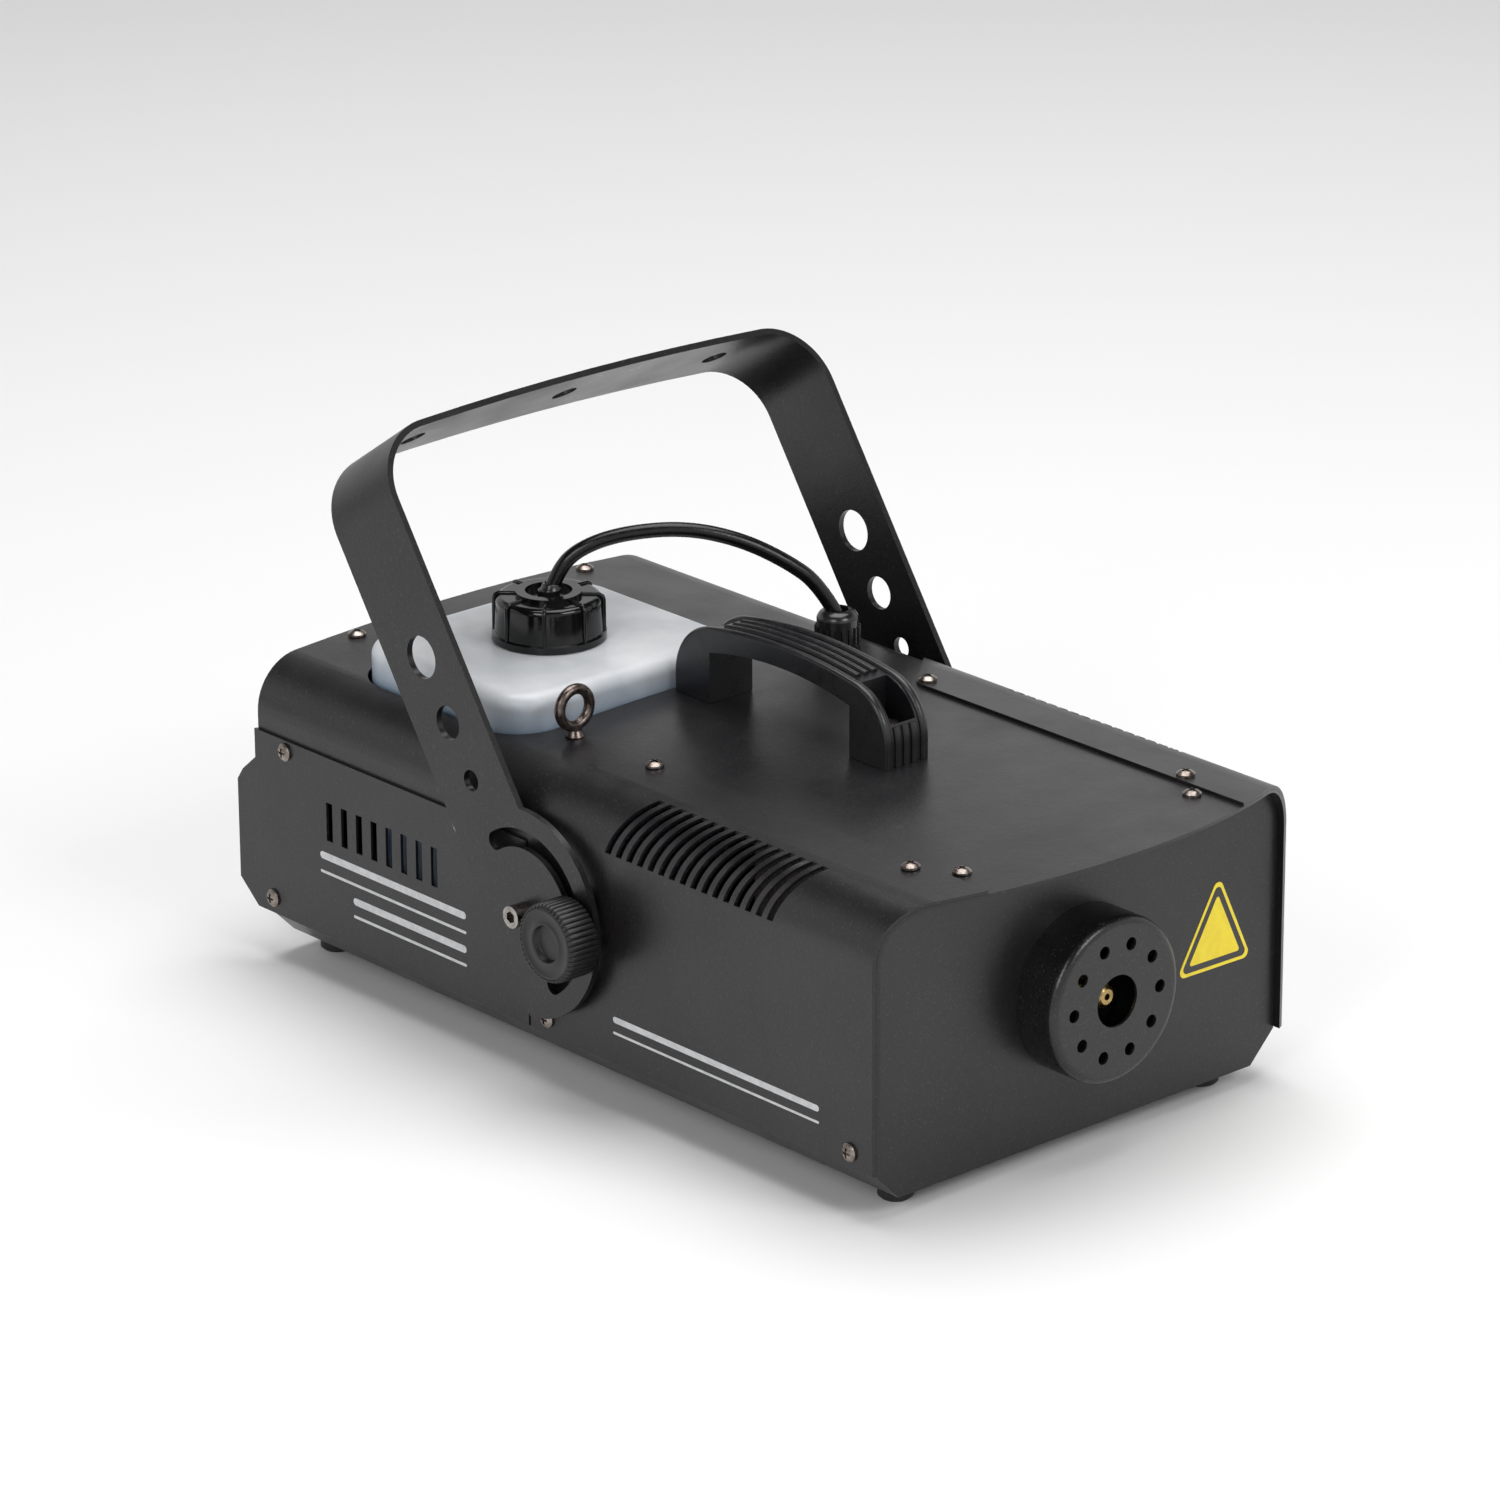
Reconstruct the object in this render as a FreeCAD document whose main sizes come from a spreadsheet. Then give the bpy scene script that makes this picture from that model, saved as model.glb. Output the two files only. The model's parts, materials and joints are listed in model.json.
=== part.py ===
"""Fog machine with a tilting yoke: a parametric FreeCAD document, in millimetres.

+Z is up, the fog leaves towards -Y and +X is the machine's right side seen from
the front. The origin is the middle of the outline on the surface it stands on.
Stations along the machine are counted rearwards from the front panel, and
levels upwards from the underside of the chassis pan.
"""
import FreeCAD, Part
import math
import os
import re

import Sketcher
from FreeCAD import Placement, Rotation, Vector

# ------------------------------------------------------------------ driving dimensions
DIMENSIONS = {
    # where the body stands in the frame
    "front_y": -201.5, "pan_z": 9,
    # sheet metal body
    "sheet": 1.5, "lap": 0.1, "body_length": 420, "shell_length": 422,
    "corner_x": 98.7, "corner_z": 112.7, "corner_radius": 26.5,
    "crown_span": 1385, "skirt_z": 15.2,
    "brow_reach": 34, "brow_radius": 262,
    "pan_half": 107.6, "chamfer": 14.5, "pan_flange": 40,
    # front covers
    "strip_x": 77, "strip_end": 183, "strip_round": 12, "strip_round_dx": 4.95,
    "strip_round_dy": 9.7, "strip_slope": 0.7265, "front_cover_end": 224.7,
    "vent_pitch": 7.12, "vent_width": 3.5, "vent_first": 63.1, "vent_count": 16,
    "vent_low": 114.6, "vent_inner": 105.5, "vent_lean_x": 0.4, "vent_lean_z": 0.3,
    "window_start": 46, "window_end": 174, "window_inner": 103,
    # side plates
    "plate_start": 226, "plate_top": 104.4, "plate_end": 437, "plate_knee_y": 432.8,
    "plate_knee_z": 81.7, "plate_notch_y": 423, "plate_notch_z": 90,
    "plate_foot_y": 423.7, "plate_foot_z": 26.6, "plate_rear_z": 75.6,
    "slot_first": 289.5, "slot_pitch": 10.9, "slot_width": 4.5, "slot_low": 63.3,
    "slot_tall": 19, "slot_count": 8, "window_margin": 2,
    # fog outlet
    "outlet_z": 68.6, "guard_radius": 38.5, "guard_depth": 23.3, "guard_round": 4,
    "guard_hole": 12, "guard_vent": 3, "guard_vent_ring": 26, "guard_vents": 10,
    "panel_hole": 27, "tip_radius": 5.5, "tip_bore": 1.6, "tip_reach": 17,
    # heater
    "block_width": 62, "block_tall": 50, "block_start": 24, "block_length": 150,
    "wrap": 9, "wrap_gap": 0.3, "wrap_inset": 6, "rod_radius": 6, "rod_x": 17,
    "rod_drop": 12, "rod_tail": 12, "bore_gap": 0.1, "bracket_sheet": 2,
    "bracket_foot": 16, "bracket_width": 76,
    "thermostat_radius": 9, "thermostat_tall": 8, "fuse_radius": 3, "fuse_length": 22,
    # pump, tubes and board
    "pump_x": 78.4, "pump_z": 40, "pump_start": 290, "pump_length": 78, "pump_radius": 11,
    "coil_start": 308, "coil_length": 38, "coil_width": 40, "coil_tall": 44,
    "suction_top": 138, "stub_length": 10, "stub_radius": 3.4, "tube_bend": 26, "tube_radius": 3.5,
    "feed_radius": 2, "feed_x": 44, "feed_bend": 12, "feed_z": 84,
    "board_x": 44, "board_width": 62, "board_y": 196, "board_length": 84,
    "board_z": 12, "board_thick": 1.6, "board_gap": 4, "standoff_radius": 3,
    "core_width": 34, "core_length": 30, "core_tall": 26,
    "relay_width": 16, "relay_length": 20, "relay_tall": 16,
    "terminal_width": 46, "terminal_length": 12, "terminal_tall": 14,
    # rear panel fittings
    "inlet_x": 84, "inlet_z": 46, "inlet_width": 28, "inlet_tall": 48, "inlet_depth": 24,
    "inlet_flange": 2.4, "inlet_rim": 3, "socket_width": 20, "socket_tall": 14,
    "socket_deep": 15, "socket_rise": -9, "pin_radius": 1.6, "pin_length": 12, "pin_pitch": 6,
    "drawer_width": 18, "drawer_tall": 8, "drawer_deep": 16, "drawer_rise": 14,
    "drawer_proud": 1.2, "slide_gap": 0.2,
    "switch_x": 40, "switch_z": 46, "switch_width": 15, "switch_tall": 21,
    "switch_rim": 2, "switch_flange": 1.8, "switch_depth": 18, "rocker_radius": 9,
    "rocker_width": 10.4, "rocker_gap": 0.3, "rocker_rise": 1.6, "rocker_pin": 1.2,
    "rocker_reach": 20.7, "rocker_hollow": 15, "rocker_lean": 9,
    "remote_x": -84, "remote_z": 46, "remote_radius": 9.5, "remote_flange": 13,
    "remote_depth": 20, "remote_mouth": 7.5, "remote_deep": 13,
    # yoke
    "pivot_y": 219, "pivot_z": 74, "yoke_sheet": 3, "yoke_gap": 4.45, "yoke_width": 50,
    "yoke_reach": 224, "yoke_bend": 32, "yoke_arch": 2.6, "yoke_tilt": 34,
    "yoke_disc": 49, "bolt_slot_radius": 35, "bolt_slot_width": 8.8, "pivot_hole": 3.15,
    "arm_hole_a": 10, "arm_hole_a_at": 124, "arm_hole_b": 8, "arm_hole_b_at": 92,
    "arm_hole_c": 5, "arm_hole_c_at": 64, "bar_hole": 6.2, "bar_hole_x": 91,
    "clamp_back": 35, "spacer_radius": 8, "spacer_gap": 0.15, "pivot_shank": 3,
    "pivot_head": 5.2, "pivot_head_length": 8, "hex_key": 5, "hex_depth": 4,
    "nut_across": 10, "nut_thick": 5, "stud_radius": 4, "stud_nut_across": 13,
    "washer_radius": 10, "washer_thick": 1, "face_gap": 0.1,
    "knob_radius": 18.9, "knob_length": 16.5, "knob_dish": 8.6, "knob_dish_deep": 3,
    "knob_bore_deep": 11, "knob_flute": 1.6, "knob_flutes": 24,
    # carry handle
    "handle_y": 112, "handle_length": 140, "handle_width": 26, "handle_foot": 23,
    "handle_shoulder": 9.5, "handle_end": 25.4, "handle_turn_y": 21, "handle_turn_z": 34.5,
    "handle_bow": 282, "handle_inner": 24.5, "handle_under": 203.6,
    "pocket_width": 15, "pocket_length": 19,
    "pocket_floor": 14, "handle_screw": 2.5, "handle_head": 4.5, "handle_head_tall": 2.6,
    # tank
    "tank_x": -33, "tank_y": 318, "tank_width": 137, "tank_length": 120, "tank_top": 155,
    "tank_floor": 3.2, "tank_wall": 1.8, "tank_round": 22, "tank_edge": 7,
    "tank_clear": 2, "neck_radius": 20, "neck_bore": 17, "neck_tall": 10,
    "tray_wall": 1.5, "tray_gap": 0.5, "tray_tall": 46,
    "cap_radius": 25.3, "cap_flange": 26.6, "cap_flange_tall": 3, "cap_tall": 20.5,
    "cap_wall": 2.6, "cap_lift": 0.5, "cap_ring": 15.5, "cap_ring_bore": 11,
    "cap_ring_tall": 2, "cap_hole": 5.3,
    "barb_radius": 5, "barb_flange": 8, "barb_flange_tall": 1.5, "barb_bore": 3.6,
    "barb_tall": 3, "pickup_radius": 3, "filter_radius": 7, "filter_tall": 20,
    "filter_low": 8,
    # cutting tools that only have to reach past what they cut, and the play in a thread
    "drill_low": 100, "drill_long": 80, "drill_mid": 60, "drill_short": 20, "thread_gap": 0.02,
    # hose between the cap and the gland
    "hose_radius": 3.5,
    # gland
    "gland_x": 78.4, "gland_y": 243, "gland_across": 19, "gland_base_tall": 5,
    "gland_thread": 7.6, "gland_thread_long": 11, "gland_locknut": 5, "gland_neck": 8.4,
    "gland_neck_tall": 9, "gland_bore": 3.9, "gland_nut_radius": 9.8,
    "gland_nut_tall": 17, "gland_dome": 4, "gland_mouth": 5.2, "gland_mouth_deep": 4,
    # eye bolt
    "eye_x": -81.1, "eye_y": 243.4, "eye_ring": 8.7, "eye_wire": 2.5, "eye_rise": 13.2,
    "eye_collar": 4.6, "eye_collar_tall": 2.6, "eye_shank": 3, "eye_shank_long": 16,
    # screws
    "head_radius": 4.3, "head_tall": 2.5, "head_edge": 0.9, "shank_radius": 1.9,
    "shank_long": 8, "cross_wide": 1.1, "cross_long": 4.6, "cross_deep": 1.4,
    "top_screw_x": 83, "top_screw_front": 19.5, "top_screw_rear": 186.5,
    "mid_screw_x": 69.4, "mid_screw_y": 2, "rear_screw_x": 70, "rear_screw_y": 414,
    "side_low_z": 22.8, "side_high_z": 98.8, "side_rear_low": 411.8, "side_rear_high": 400,
    "side_mid_low": 212.9, "side_mid_high": 272.3, "side_front_low": 11.8,
    # feet
    "foot_x": 93.6, "foot_front": 17, "foot_rear": 405, "foot_radius": 8, "foot_neck": 6.4,
    "foot_screw": 1.5, "foot_well": 3.6, "foot_well_deep": 4.5, "foot_head": 3.2,
    "foot_head_tall": 2, "foot_screw_long": 9,
}

# centre line of the fluid hose, from the barb in the cap to the mouth of the gland
HOSE_ROUTE = [
    (-33.0, 116.5, 184.1),
    (-29.0, 113.9, 197.0),
    (-20.6, 108.4, 206.3),
    (-4.7, 98.0, 212.4),
    (19.3, 81.7, 213.8),
    (40.8, 67.1, 207.0),
    (59.0, 54.7, 195.0),
    (71.4, 46.3, 183.0),
    (78.4, 41.5, 166.8),
]

doc = FreeCAD.newDocument("FogMachine")
sheet = doc.addObject("Spreadsheet::Sheet", "Sheet")
for row, (name, number) in enumerate(DIMENSIONS.items(), start=1):
    sheet.set(f"A{row}", name)
    sheet.set(f"B{row}", str(number))
    sheet.setAlias(f"B{row}", name)
doc.recompute()

SUB_PARTS = []


# ------------------------------------------------------------------ helpers
def cell(text):
    """Point every driving dimension named in an expression at its cell."""
    def named(match):
        word = match.group()
        return f"Sheet.{word}" if word in DIMENSIONS else word
    return re.sub(r"[A-Za-z_][A-Za-z_0-9]*", named, text)


def value(text):
    """The present number of an expression."""
    return float(sheet.evalExpression(cell(text)))


def bind(thing, **expressions):
    """Bind properties to expressions of the driving dimensions."""
    for prop, text in expressions.items():
        thing.setExpression(prop, cell(text))


def place(thing, at, rotation=None):
    """Bind the position of an object, and turn it where a rotation is given."""
    if rotation is not None:
        thing.Placement = Placement(Vector(), rotation)
    for letter, text in zip("xyz", at):
        thing.setExpression(f"Placement.Base.{letter}", cell(text))
    return thing


def keep(thing, label):
    """Count an object as a sub-part, under the name of its file."""
    thing.Label = label
    SUB_PARTS.append(thing)
    return thing


TURNS = {"x": Rotation(Vector(0, 1, 0), 90), "y": Rotation(Vector(1, 0, 0), -90), "z": Rotation()}


def block(at, size):
    box = doc.addObject("Part::Box", "Block")
    bind(box, Length=size[0], Width=size[1], Height=size[2])
    return place(box, at)


def rod(axis, at, radius, length):
    cylinder = doc.addObject("Part::Cylinder", "Rod")
    bind(cylinder, Radius=radius, Height=length)
    return place(cylinder, at, TURNS[axis])


def cone(axis, at, low, high, length):
    piece = doc.addObject("Part::Cone", "Cone")
    bind(piece, Radius1=low, Radius2=high, Height=length)
    return place(piece, at, TURNS[axis])


def hexagon(axis, at, across, length):
    prism = doc.addObject("Part::Prism", "Hexagon")
    prism.Polygon = 6
    bind(prism, Circumradius=f"{across} / sqrt(3)", Height=length)
    return place(prism, at, TURNS[axis])


def fuse(*pieces):
    joined = doc.addObject("Part::MultiFuse", "Fuse")
    joined.Shapes = list(pieces)
    joined.Refine = True
    return joined


def cut(base, *tools):
    taken = doc.addObject("Part::Cut", "Cut")
    taken.Base = base
    taken.Tool = tools[0] if len(tools) == 1 else fuse(*tools)
    return taken


def common(first, second):
    shared = doc.addObject("Part::MultiCommon", "Common")
    shared.Shapes = [first, second]
    return shared


def together(*pieces):
    """Several separate solids in one sub-part."""
    group = doc.addObject("Part::Compound", "Group")
    group.Links = list(pieces)
    return group


def mirror(source):
    """The same shape on the other side of the middle plane."""
    copy = doc.addObject("Part::Mirroring", "Mirror")
    copy.Source = source
    copy.Normal = Vector(1, 0, 0)
    return copy


def both(source):
    return together(source, mirror(source))


def tube(axis, at, outer, inner, length):
    return cut(rod(axis, at, outer, length), rod(axis, at, inner, length))


def body(name):
    return doc.addObject("PartDesign::Body", name)


def origin_plane(owner, role):
    return next(f for f in owner.Origin.OriginFeatures if f.Role == role)


def sketch_on(owner, role, outline=(), circles=()):
    """A sketch with a closed outline and circles, every size bound to the sheet.

    A corner of the outline is (x, y), or (x, y, radius) where an arc leads on to
    the next corner; a positive radius turns left and a negative one right.
    """
    sketch = owner.newObject("Sketcher::SketchObject", "Sketch")
    sketch.AttachmentSupport = [(origin_plane(owner, role), "")]
    sketch.MapMode = "FlatFace"

    def fix(kind, where, text):
        number = sketch.addConstraint(Sketcher.Constraint(kind, *where, value(text)))
        sketch.setExpression(f"Constraints[{number}]", cell(text))

    spots = [Vector(value(corner[0]), value(corner[1]), 0) for corner in outline]
    ends = []
    for index, corner in enumerate(outline):
        start = spots[index]
        stop = spots[(index + 1) % len(spots)]
        if len(corner) == 2:
            number = sketch.addGeometry(Part.LineSegment(start, stop))
            ends.append((number, 1, 2))
            continue
        left = not corner[2].startswith("-")
        radius = abs(value(corner[2]))
        chord = stop - start
        rise = math.sqrt(max(radius ** 2 - chord.Length ** 2 / 4, 0))
        side = Vector(-chord.y, chord.x, 0).normalize() * (rise if left else -rise)
        centre = (start + stop) * 0.5 + side
        first, last = (start, stop) if left else (stop, start)
        angles = [math.atan2(p.y - centre.y, p.x - centre.x) for p in (first, last)]
        circle = Part.Circle(centre, Vector(0, 0, 1), radius)
        number = sketch.addGeometry(Part.ArcOfCircle(circle, angles[0], angles[1]))
        ends.append((number, 1, 2) if left else (number, 2, 1))
        fix("Radius", (number,), corner[2].lstrip("-"))
    for index, (number, start, stop) in enumerate(ends):
        following = ends[(index + 1) % len(ends)]
        sketch.addConstraint(
            Sketcher.Constraint("Coincident", number, stop, following[0], following[1]))
        fix("DistanceX", (number, start), outline[index][0])
        fix("DistanceY", (number, start), outline[index][1])
    for across, up, radius in circles:
        centre = Vector(value(across), value(up), 0)
        number = sketch.addGeometry(Part.Circle(centre, Vector(0, 0, 1), value(radius)))
        fix("DistanceX", (number, 3), across)
        fix("DistanceY", (number, 3), up)
        fix("Radius", (number,), radius)
    return sketch


def pad(owner, profile, length, reverse=False, midplane=False):
    feature = owner.newObject("PartDesign::Pad", "Pad")
    feature.Profile = profile
    feature.Reversed = reverse
    feature.Midplane = midplane
    bind(feature, Length=length)
    doc.recompute()
    return feature


def pocket(owner, profile, length, reverse=False, midplane=False):
    before = owner.Shape.Volume
    feature = owner.newObject("PartDesign::Pocket", "Pocket")
    feature.Profile = profile
    feature.Reversed = reverse
    feature.Midplane = midplane
    bind(feature, Length=length)
    doc.recompute()
    if not owner.Shape.Volume < before:
        raise RuntimeError(f"{owner.Name}: a pocket cuts nothing")
    return feature


def polar(owner, feature, axis, count):
    """Repeat a feature round one of its sketch's axes."""
    pattern = owner.newObject("PartDesign::PolarPattern", "Pattern")
    pattern.Originals = [feature]
    pattern.Axis = (origin_plane(owner, axis), [""])
    pattern.Angle = 360
    bind(pattern, Occurrences=count)
    owner.Tip = pattern
    doc.recompute()
    return pattern


def turned(name, axis, at, outline):
    """A body of revolution; the outline is (radius, height) about its axis."""
    owner = body(name)
    profile = sketch_on(owner, "XZ_Plane", outline)
    feature = owner.newObject("PartDesign::Revolution", "Turn")
    feature.Profile = profile
    feature.ReferenceAxis = (profile, ["V_Axis"])
    feature.Angle = 360
    doc.recompute()
    place(owner, at, TURNS[axis])
    return owner


def round_edges(owner, radius, wanted):
    """Fillet the edges of a body whose middle point and direction are wanted."""
    tip = owner.Tip
    names = []
    for number, edge in enumerate(tip.Shape.Edges, start=1):
        start, stop = edge.Vertexes[0].Point, edge.Vertexes[-1].Point
        if wanted((start + stop) * 0.5, stop - start):
            names.append(f"Edge{number}")
    feature = owner.newObject("PartDesign::Fillet", "Fillet")
    feature.Base = (tip, names)
    bind(feature, Radius=radius)
    doc.recompute()
    return feature


def station(text):
    """A place along the machine, counted from the front panel."""
    return f"front_y + {text}"


def level(text):
    """A height counted from the underside of the pan."""
    return f"pan_z + {text}"


# ------------------------------------------------------------------ sheet metal body
LEAN = "(corner_x / crown_span)"
UPRIGHT = "sqrt(1 - (corner_x / crown_span)^2)"
CROWN_CENTRE = f"(corner_z - crown_span * {UPRIGHT})"


def skin(inset):
    """The places where a sheet's corner meets its side wall and its crown."""
    radius = f"(corner_radius - {inset})"
    side = f"(corner_x + {radius})"
    crown = (f"(corner_x + {radius} * {LEAN})", level(f"corner_z + {radius} * {UPRIGHT}"))
    return radius, side, crown


def plan_front():
    """Outline of the space in front of the brow; its rear side is the brow's arc."""
    wide = "(corner_x + corner_radius + 10)"
    meet = station(f"brow_radius - brow_reach - sqrt(brow_radius^2 - {wide}^2)")
    ahead = station("-brow_reach - 20")
    return [
        (f"-{wide}", ahead),
        (wide, ahead),
        (wide, meet, "-brow_radius"),
        (f"-{wide}", meet),
    ]


def make_main_cover():
    owner = body("MainCover")
    outer_round, outer, outer_top = skin("(sheet + lap)")
    inner_round, inner, inner_top = skin("(2 * sheet + lap)")
    low = level("skirt_z")
    shoulder = level("corner_z")
    profile = sketch_on(owner, "XZ_Plane", [
        (outer, low),
        (outer, shoulder, outer_round),
        (*outer_top, f"crown_span + {outer_round}"),
        (f"-{outer_top[0]}", outer_top[1], outer_round),
        (f"-{outer}", shoulder),
        (f"-{outer}", low),
        (f"-{inner}", low),
        (f"-{inner}", shoulder, f"-{inner_round}"),
        (f"-{inner_top[0]}", inner_top[1], f"-(crown_span + {inner_round})"),
        (*inner_top, f"-{inner_round}"),
        (inner, shoulder),
        (inner, low),
    ])
    pad(owner, profile, "shell_length + brow_reach", reverse=True)
    return owner


def make_covers():
    main = make_main_cover()
    place(main, ("0", station("-brow_reach"), "0"))
    brow = body("BrowCutter")
    pad(brow, sketch_on(brow, "XY_Plane", plan_front()), "pan_z + 200")
    half = "corner_x + corner_radius"

    opening = body("TankOpening")
    wide = "(tank_width / 2 + tank_clear)"
    long = "(tank_length / 2 + tank_clear)"
    bend = "(tank_round + tank_clear)"
    pad(opening, sketch_on(opening, "XY_Plane", rounded(wide, long, bend)), "100")
    place(opening, ("tank_x", station("tank_y"), level("110")))

    tools = [brow, opening]
    for side in (1, -1):
        start = "window_inner" if side > 0 else "-window_inner - 40"
        tools.append(block((start, station("window_start"), level("vent_low - window_margin")),
                           ("40", "window_end - window_start", "drill_mid")))
        start = f"{half} - 20" if side > 0 else f"-({half})"
        tools.append(block((start, station("slot_first - window_margin"),
                            level("slot_low - window_margin")),
                           ("drill_short",
                            "slot_pitch * (slot_count - 1) + slot_width + 2 * window_margin",
                            "slot_tall + 2 * window_margin")))
    tools += side_holes()
    tools.append(rod("z", ("gland_x", station("gland_y"), level("drill_low")),
                     "gland_thread + lap", "drill_long"))
    tools.append(rod("z", ("eye_x", station("eye_y"), level("drill_low")),
                     "eye_shank + lap", "drill_long"))
    for end in ("handle_foot / 2", "handle_length - handle_foot / 2"):
        tools.append(rod("z", ("0", station(f"handle_y + {end}"), level("drill_low")),
                         "handle_screw + lap", "drill_long"))
    tools += top_screw_holes()
    keep(cut(main, *tools), "main_cover")

    right = make_front_cover()
    keep(right, "right_front_cover")
    keep(mirror(right), "left_front_cover")


def rounded(half_wide, half_long, bend):
    """A rectangle with rounded corners about the origin of its sketch."""
    x, y, r = half_wide, half_long, bend
    return [
        (f"{x} - {r}", f"-{y}", r),
        (x, f"-{y} + {r}"),
        (x, f"{y} - {r}", r),
        (f"{x} - {r}", y),
        (f"-{x} + {r}", y, r),
        (f"-{x}", f"{y} - {r}"),
        (f"-{x}", f"-{y} + {r}", r),
        (f"-{x} + {r}", f"-{y}"),
    ]


def side_holes():
    """Holes through both walls for the yoke's pivots, its clamp studs and the screws."""
    reach = "2 * (corner_x + corner_radius) + 4"
    start = "-(corner_x + corner_radius) - 2"
    holes = [
        ("pivot_y", "pivot_z", "pivot_shank + lap"),
        ("pivot_y - clamp_back", "pivot_z", "stud_radius + lap"),
    ]
    holes += [(y, z, "shank_radius + lap") for y, z in SIDE_SCREWS]
    return [rod("x", (start, station(y), level(z)), radius, reach) for y, z, radius in holes]


SIDE_SCREWS = [
    ("side_front_low", "side_low_z"),
    ("side_mid_low", "side_low_z"),
    ("side_mid_high", "side_high_z"),
    ("side_rear_low", "side_low_z"),
    ("side_rear_high", "side_high_z"),
]
COVER_SCREWS = [
    ("top_screw_x", "top_screw_front"),
    ("top_screw_x", "top_screw_rear"),
]
SHELL_SCREWS = [
    ("mid_screw_x", "mid_screw_y"),
    ("rear_screw_x", "rear_screw_y"),
]


def top_screw_holes():
    holes = []
    for x, y in COVER_SCREWS + SHELL_SCREWS:
        for side in ("", "-"):
            holes.append(rod("z", (side + x, station(y), level("drill_low")),
                             "shank_radius + lap", "drill_long"))
    return holes


def crown_level(x, inset):
    """Height of a crowned sheet's surface at a distance from the middle plane."""
    return level(f"{CROWN_CENTRE} + sqrt((crown_span + corner_radius - {inset})^2 - ({x})^2)")


def make_front_cover():
    owner = body("FrontCover")
    outer_round, outer, outer_top = skin("0")
    inner_round, inner, inner_top = skin("sheet")
    low = level("skirt_z")
    shoulder = level("corner_z")
    profile = sketch_on(owner, "XZ_Plane", [
        (outer, low),
        (outer, shoulder, outer_round),
        (*outer_top, f"crown_span + {outer_round}"),
        ("strip_x", crown_level("strip_x", "0")),
        ("strip_x", crown_level("strip_x", "sheet"), f"-(crown_span + {inner_round})"),
        (*inner_top, f"-{inner_round}"),
        (inner, shoulder),
        (inner, low),
    ])
    pad(owner, profile, "front_cover_end + brow_reach", reverse=True)
    place(owner, ("0", station("-brow_reach"), "0"))

    brow = body("BrowTrim")
    pad(brow, sketch_on(brow, "XY_Plane", plan_front()), "pan_z + 200")

    rear = body("StripTrim")
    bend = ("strip_x + strip_round_dx", "strip_end + strip_round_dy")
    far = "(corner_x + corner_radius + 1)"
    back = station("front_cover_end + 20")
    slope_end = station(f"{bend[1]} + strip_slope * ({far} - {bend[0]})")
    trim = sketch_on(rear, "XY_Plane", [
        ("strip_x - 5", station("strip_end")),
        ("strip_x", station("strip_end"), "-strip_round"),
        (bend[0], station(bend[1])),
        (far, slope_end),
        (far, back),
        ("strip_x - 5", back),
    ])
    pad(rear, trim, "pan_z + 200")
    high = level("corner_z")
    upper = common(rear, block(("0", station("0"), high), ("200", "300", "100")))

    slabs = fuse(*[vent_slab(number) for number in range(int(DIMENSIONS["vent_count"]))])
    bound = block(("vent_inner", station("0"), level("vent_low")),
                  ("drill_mid", "300", "drill_mid"))
    tools = [brow, upper, common(slabs, bound)] + side_holes()
    for x, y in COVER_SCREWS:
        tools.append(rod("z", (x, station(y), level("drill_low")),
                         "shank_radius + lap", "drill_long"))
    return cut(owner, *tools)


def vent_slab(number):
    """One leaning slab whose overlap with the corner is a curved vent slot."""
    lean = Vector(-DIMENSIONS["vent_lean_x"], 1, DIMENSIONS["vent_lean_z"])
    slab = doc.addObject("Part::Box", "VentSlab")
    bind(slab, Length="200", Width="vent_width", Height="200")
    turn = Rotation(Vector(0, 1, 0), lean)
    half = turn.multVec(Vector(-100, -DIMENSIONS["vent_width"] / 2, -100))
    slab.Placement = Placement(Vector(), turn)
    bind(slab, **{
        "Placement.Base.x": f"corner_x + corner_radius + {half.x:.4f}",
        "Placement.Base.y": f"front_y + vent_first + {number} * vent_pitch + {half.y:.4f}",
        "Placement.Base.z": f"pan_z + vent_low + {half.z:.4f}",
    })
    return slab


def make_side_plate():
    """Outer plate at the rear of each side, with slots for the pump's air."""
    owner = body("SidePlate")
    low = level("skirt_z")
    start = station("plate_start")
    profile = sketch_on(owner, "YZ_Plane", [
        (start, low),
        (station("plate_foot_y"), low),
        (station("plate_end"), level("plate_foot_z")),
        (station("plate_end"), level("plate_rear_z")),
        (station("plate_knee_y"), level("plate_knee_z")),
        (station("plate_notch_y"), level("plate_notch_z")),
        (station("plate_notch_y"), level("plate_top")),
        (start, level("plate_top")),
    ])
    pad(owner, profile, "sheet")
    wall = "corner_x + corner_radius - sheet"
    place(owner, (wall, "0", "0"))
    slots = []
    for number in range(int(DIMENSIONS["slot_count"])):
        slots.append(block((f"{wall} - 1", station(f"slot_first + {number} * slot_pitch"),
                            level("slot_low")), ("sheet + 2", "slot_width", "slot_tall")))
    plate = keep(cut(owner, *slots, *side_holes()), "right_side_plate")
    keep(mirror(plate), "left_side_plate")


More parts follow.
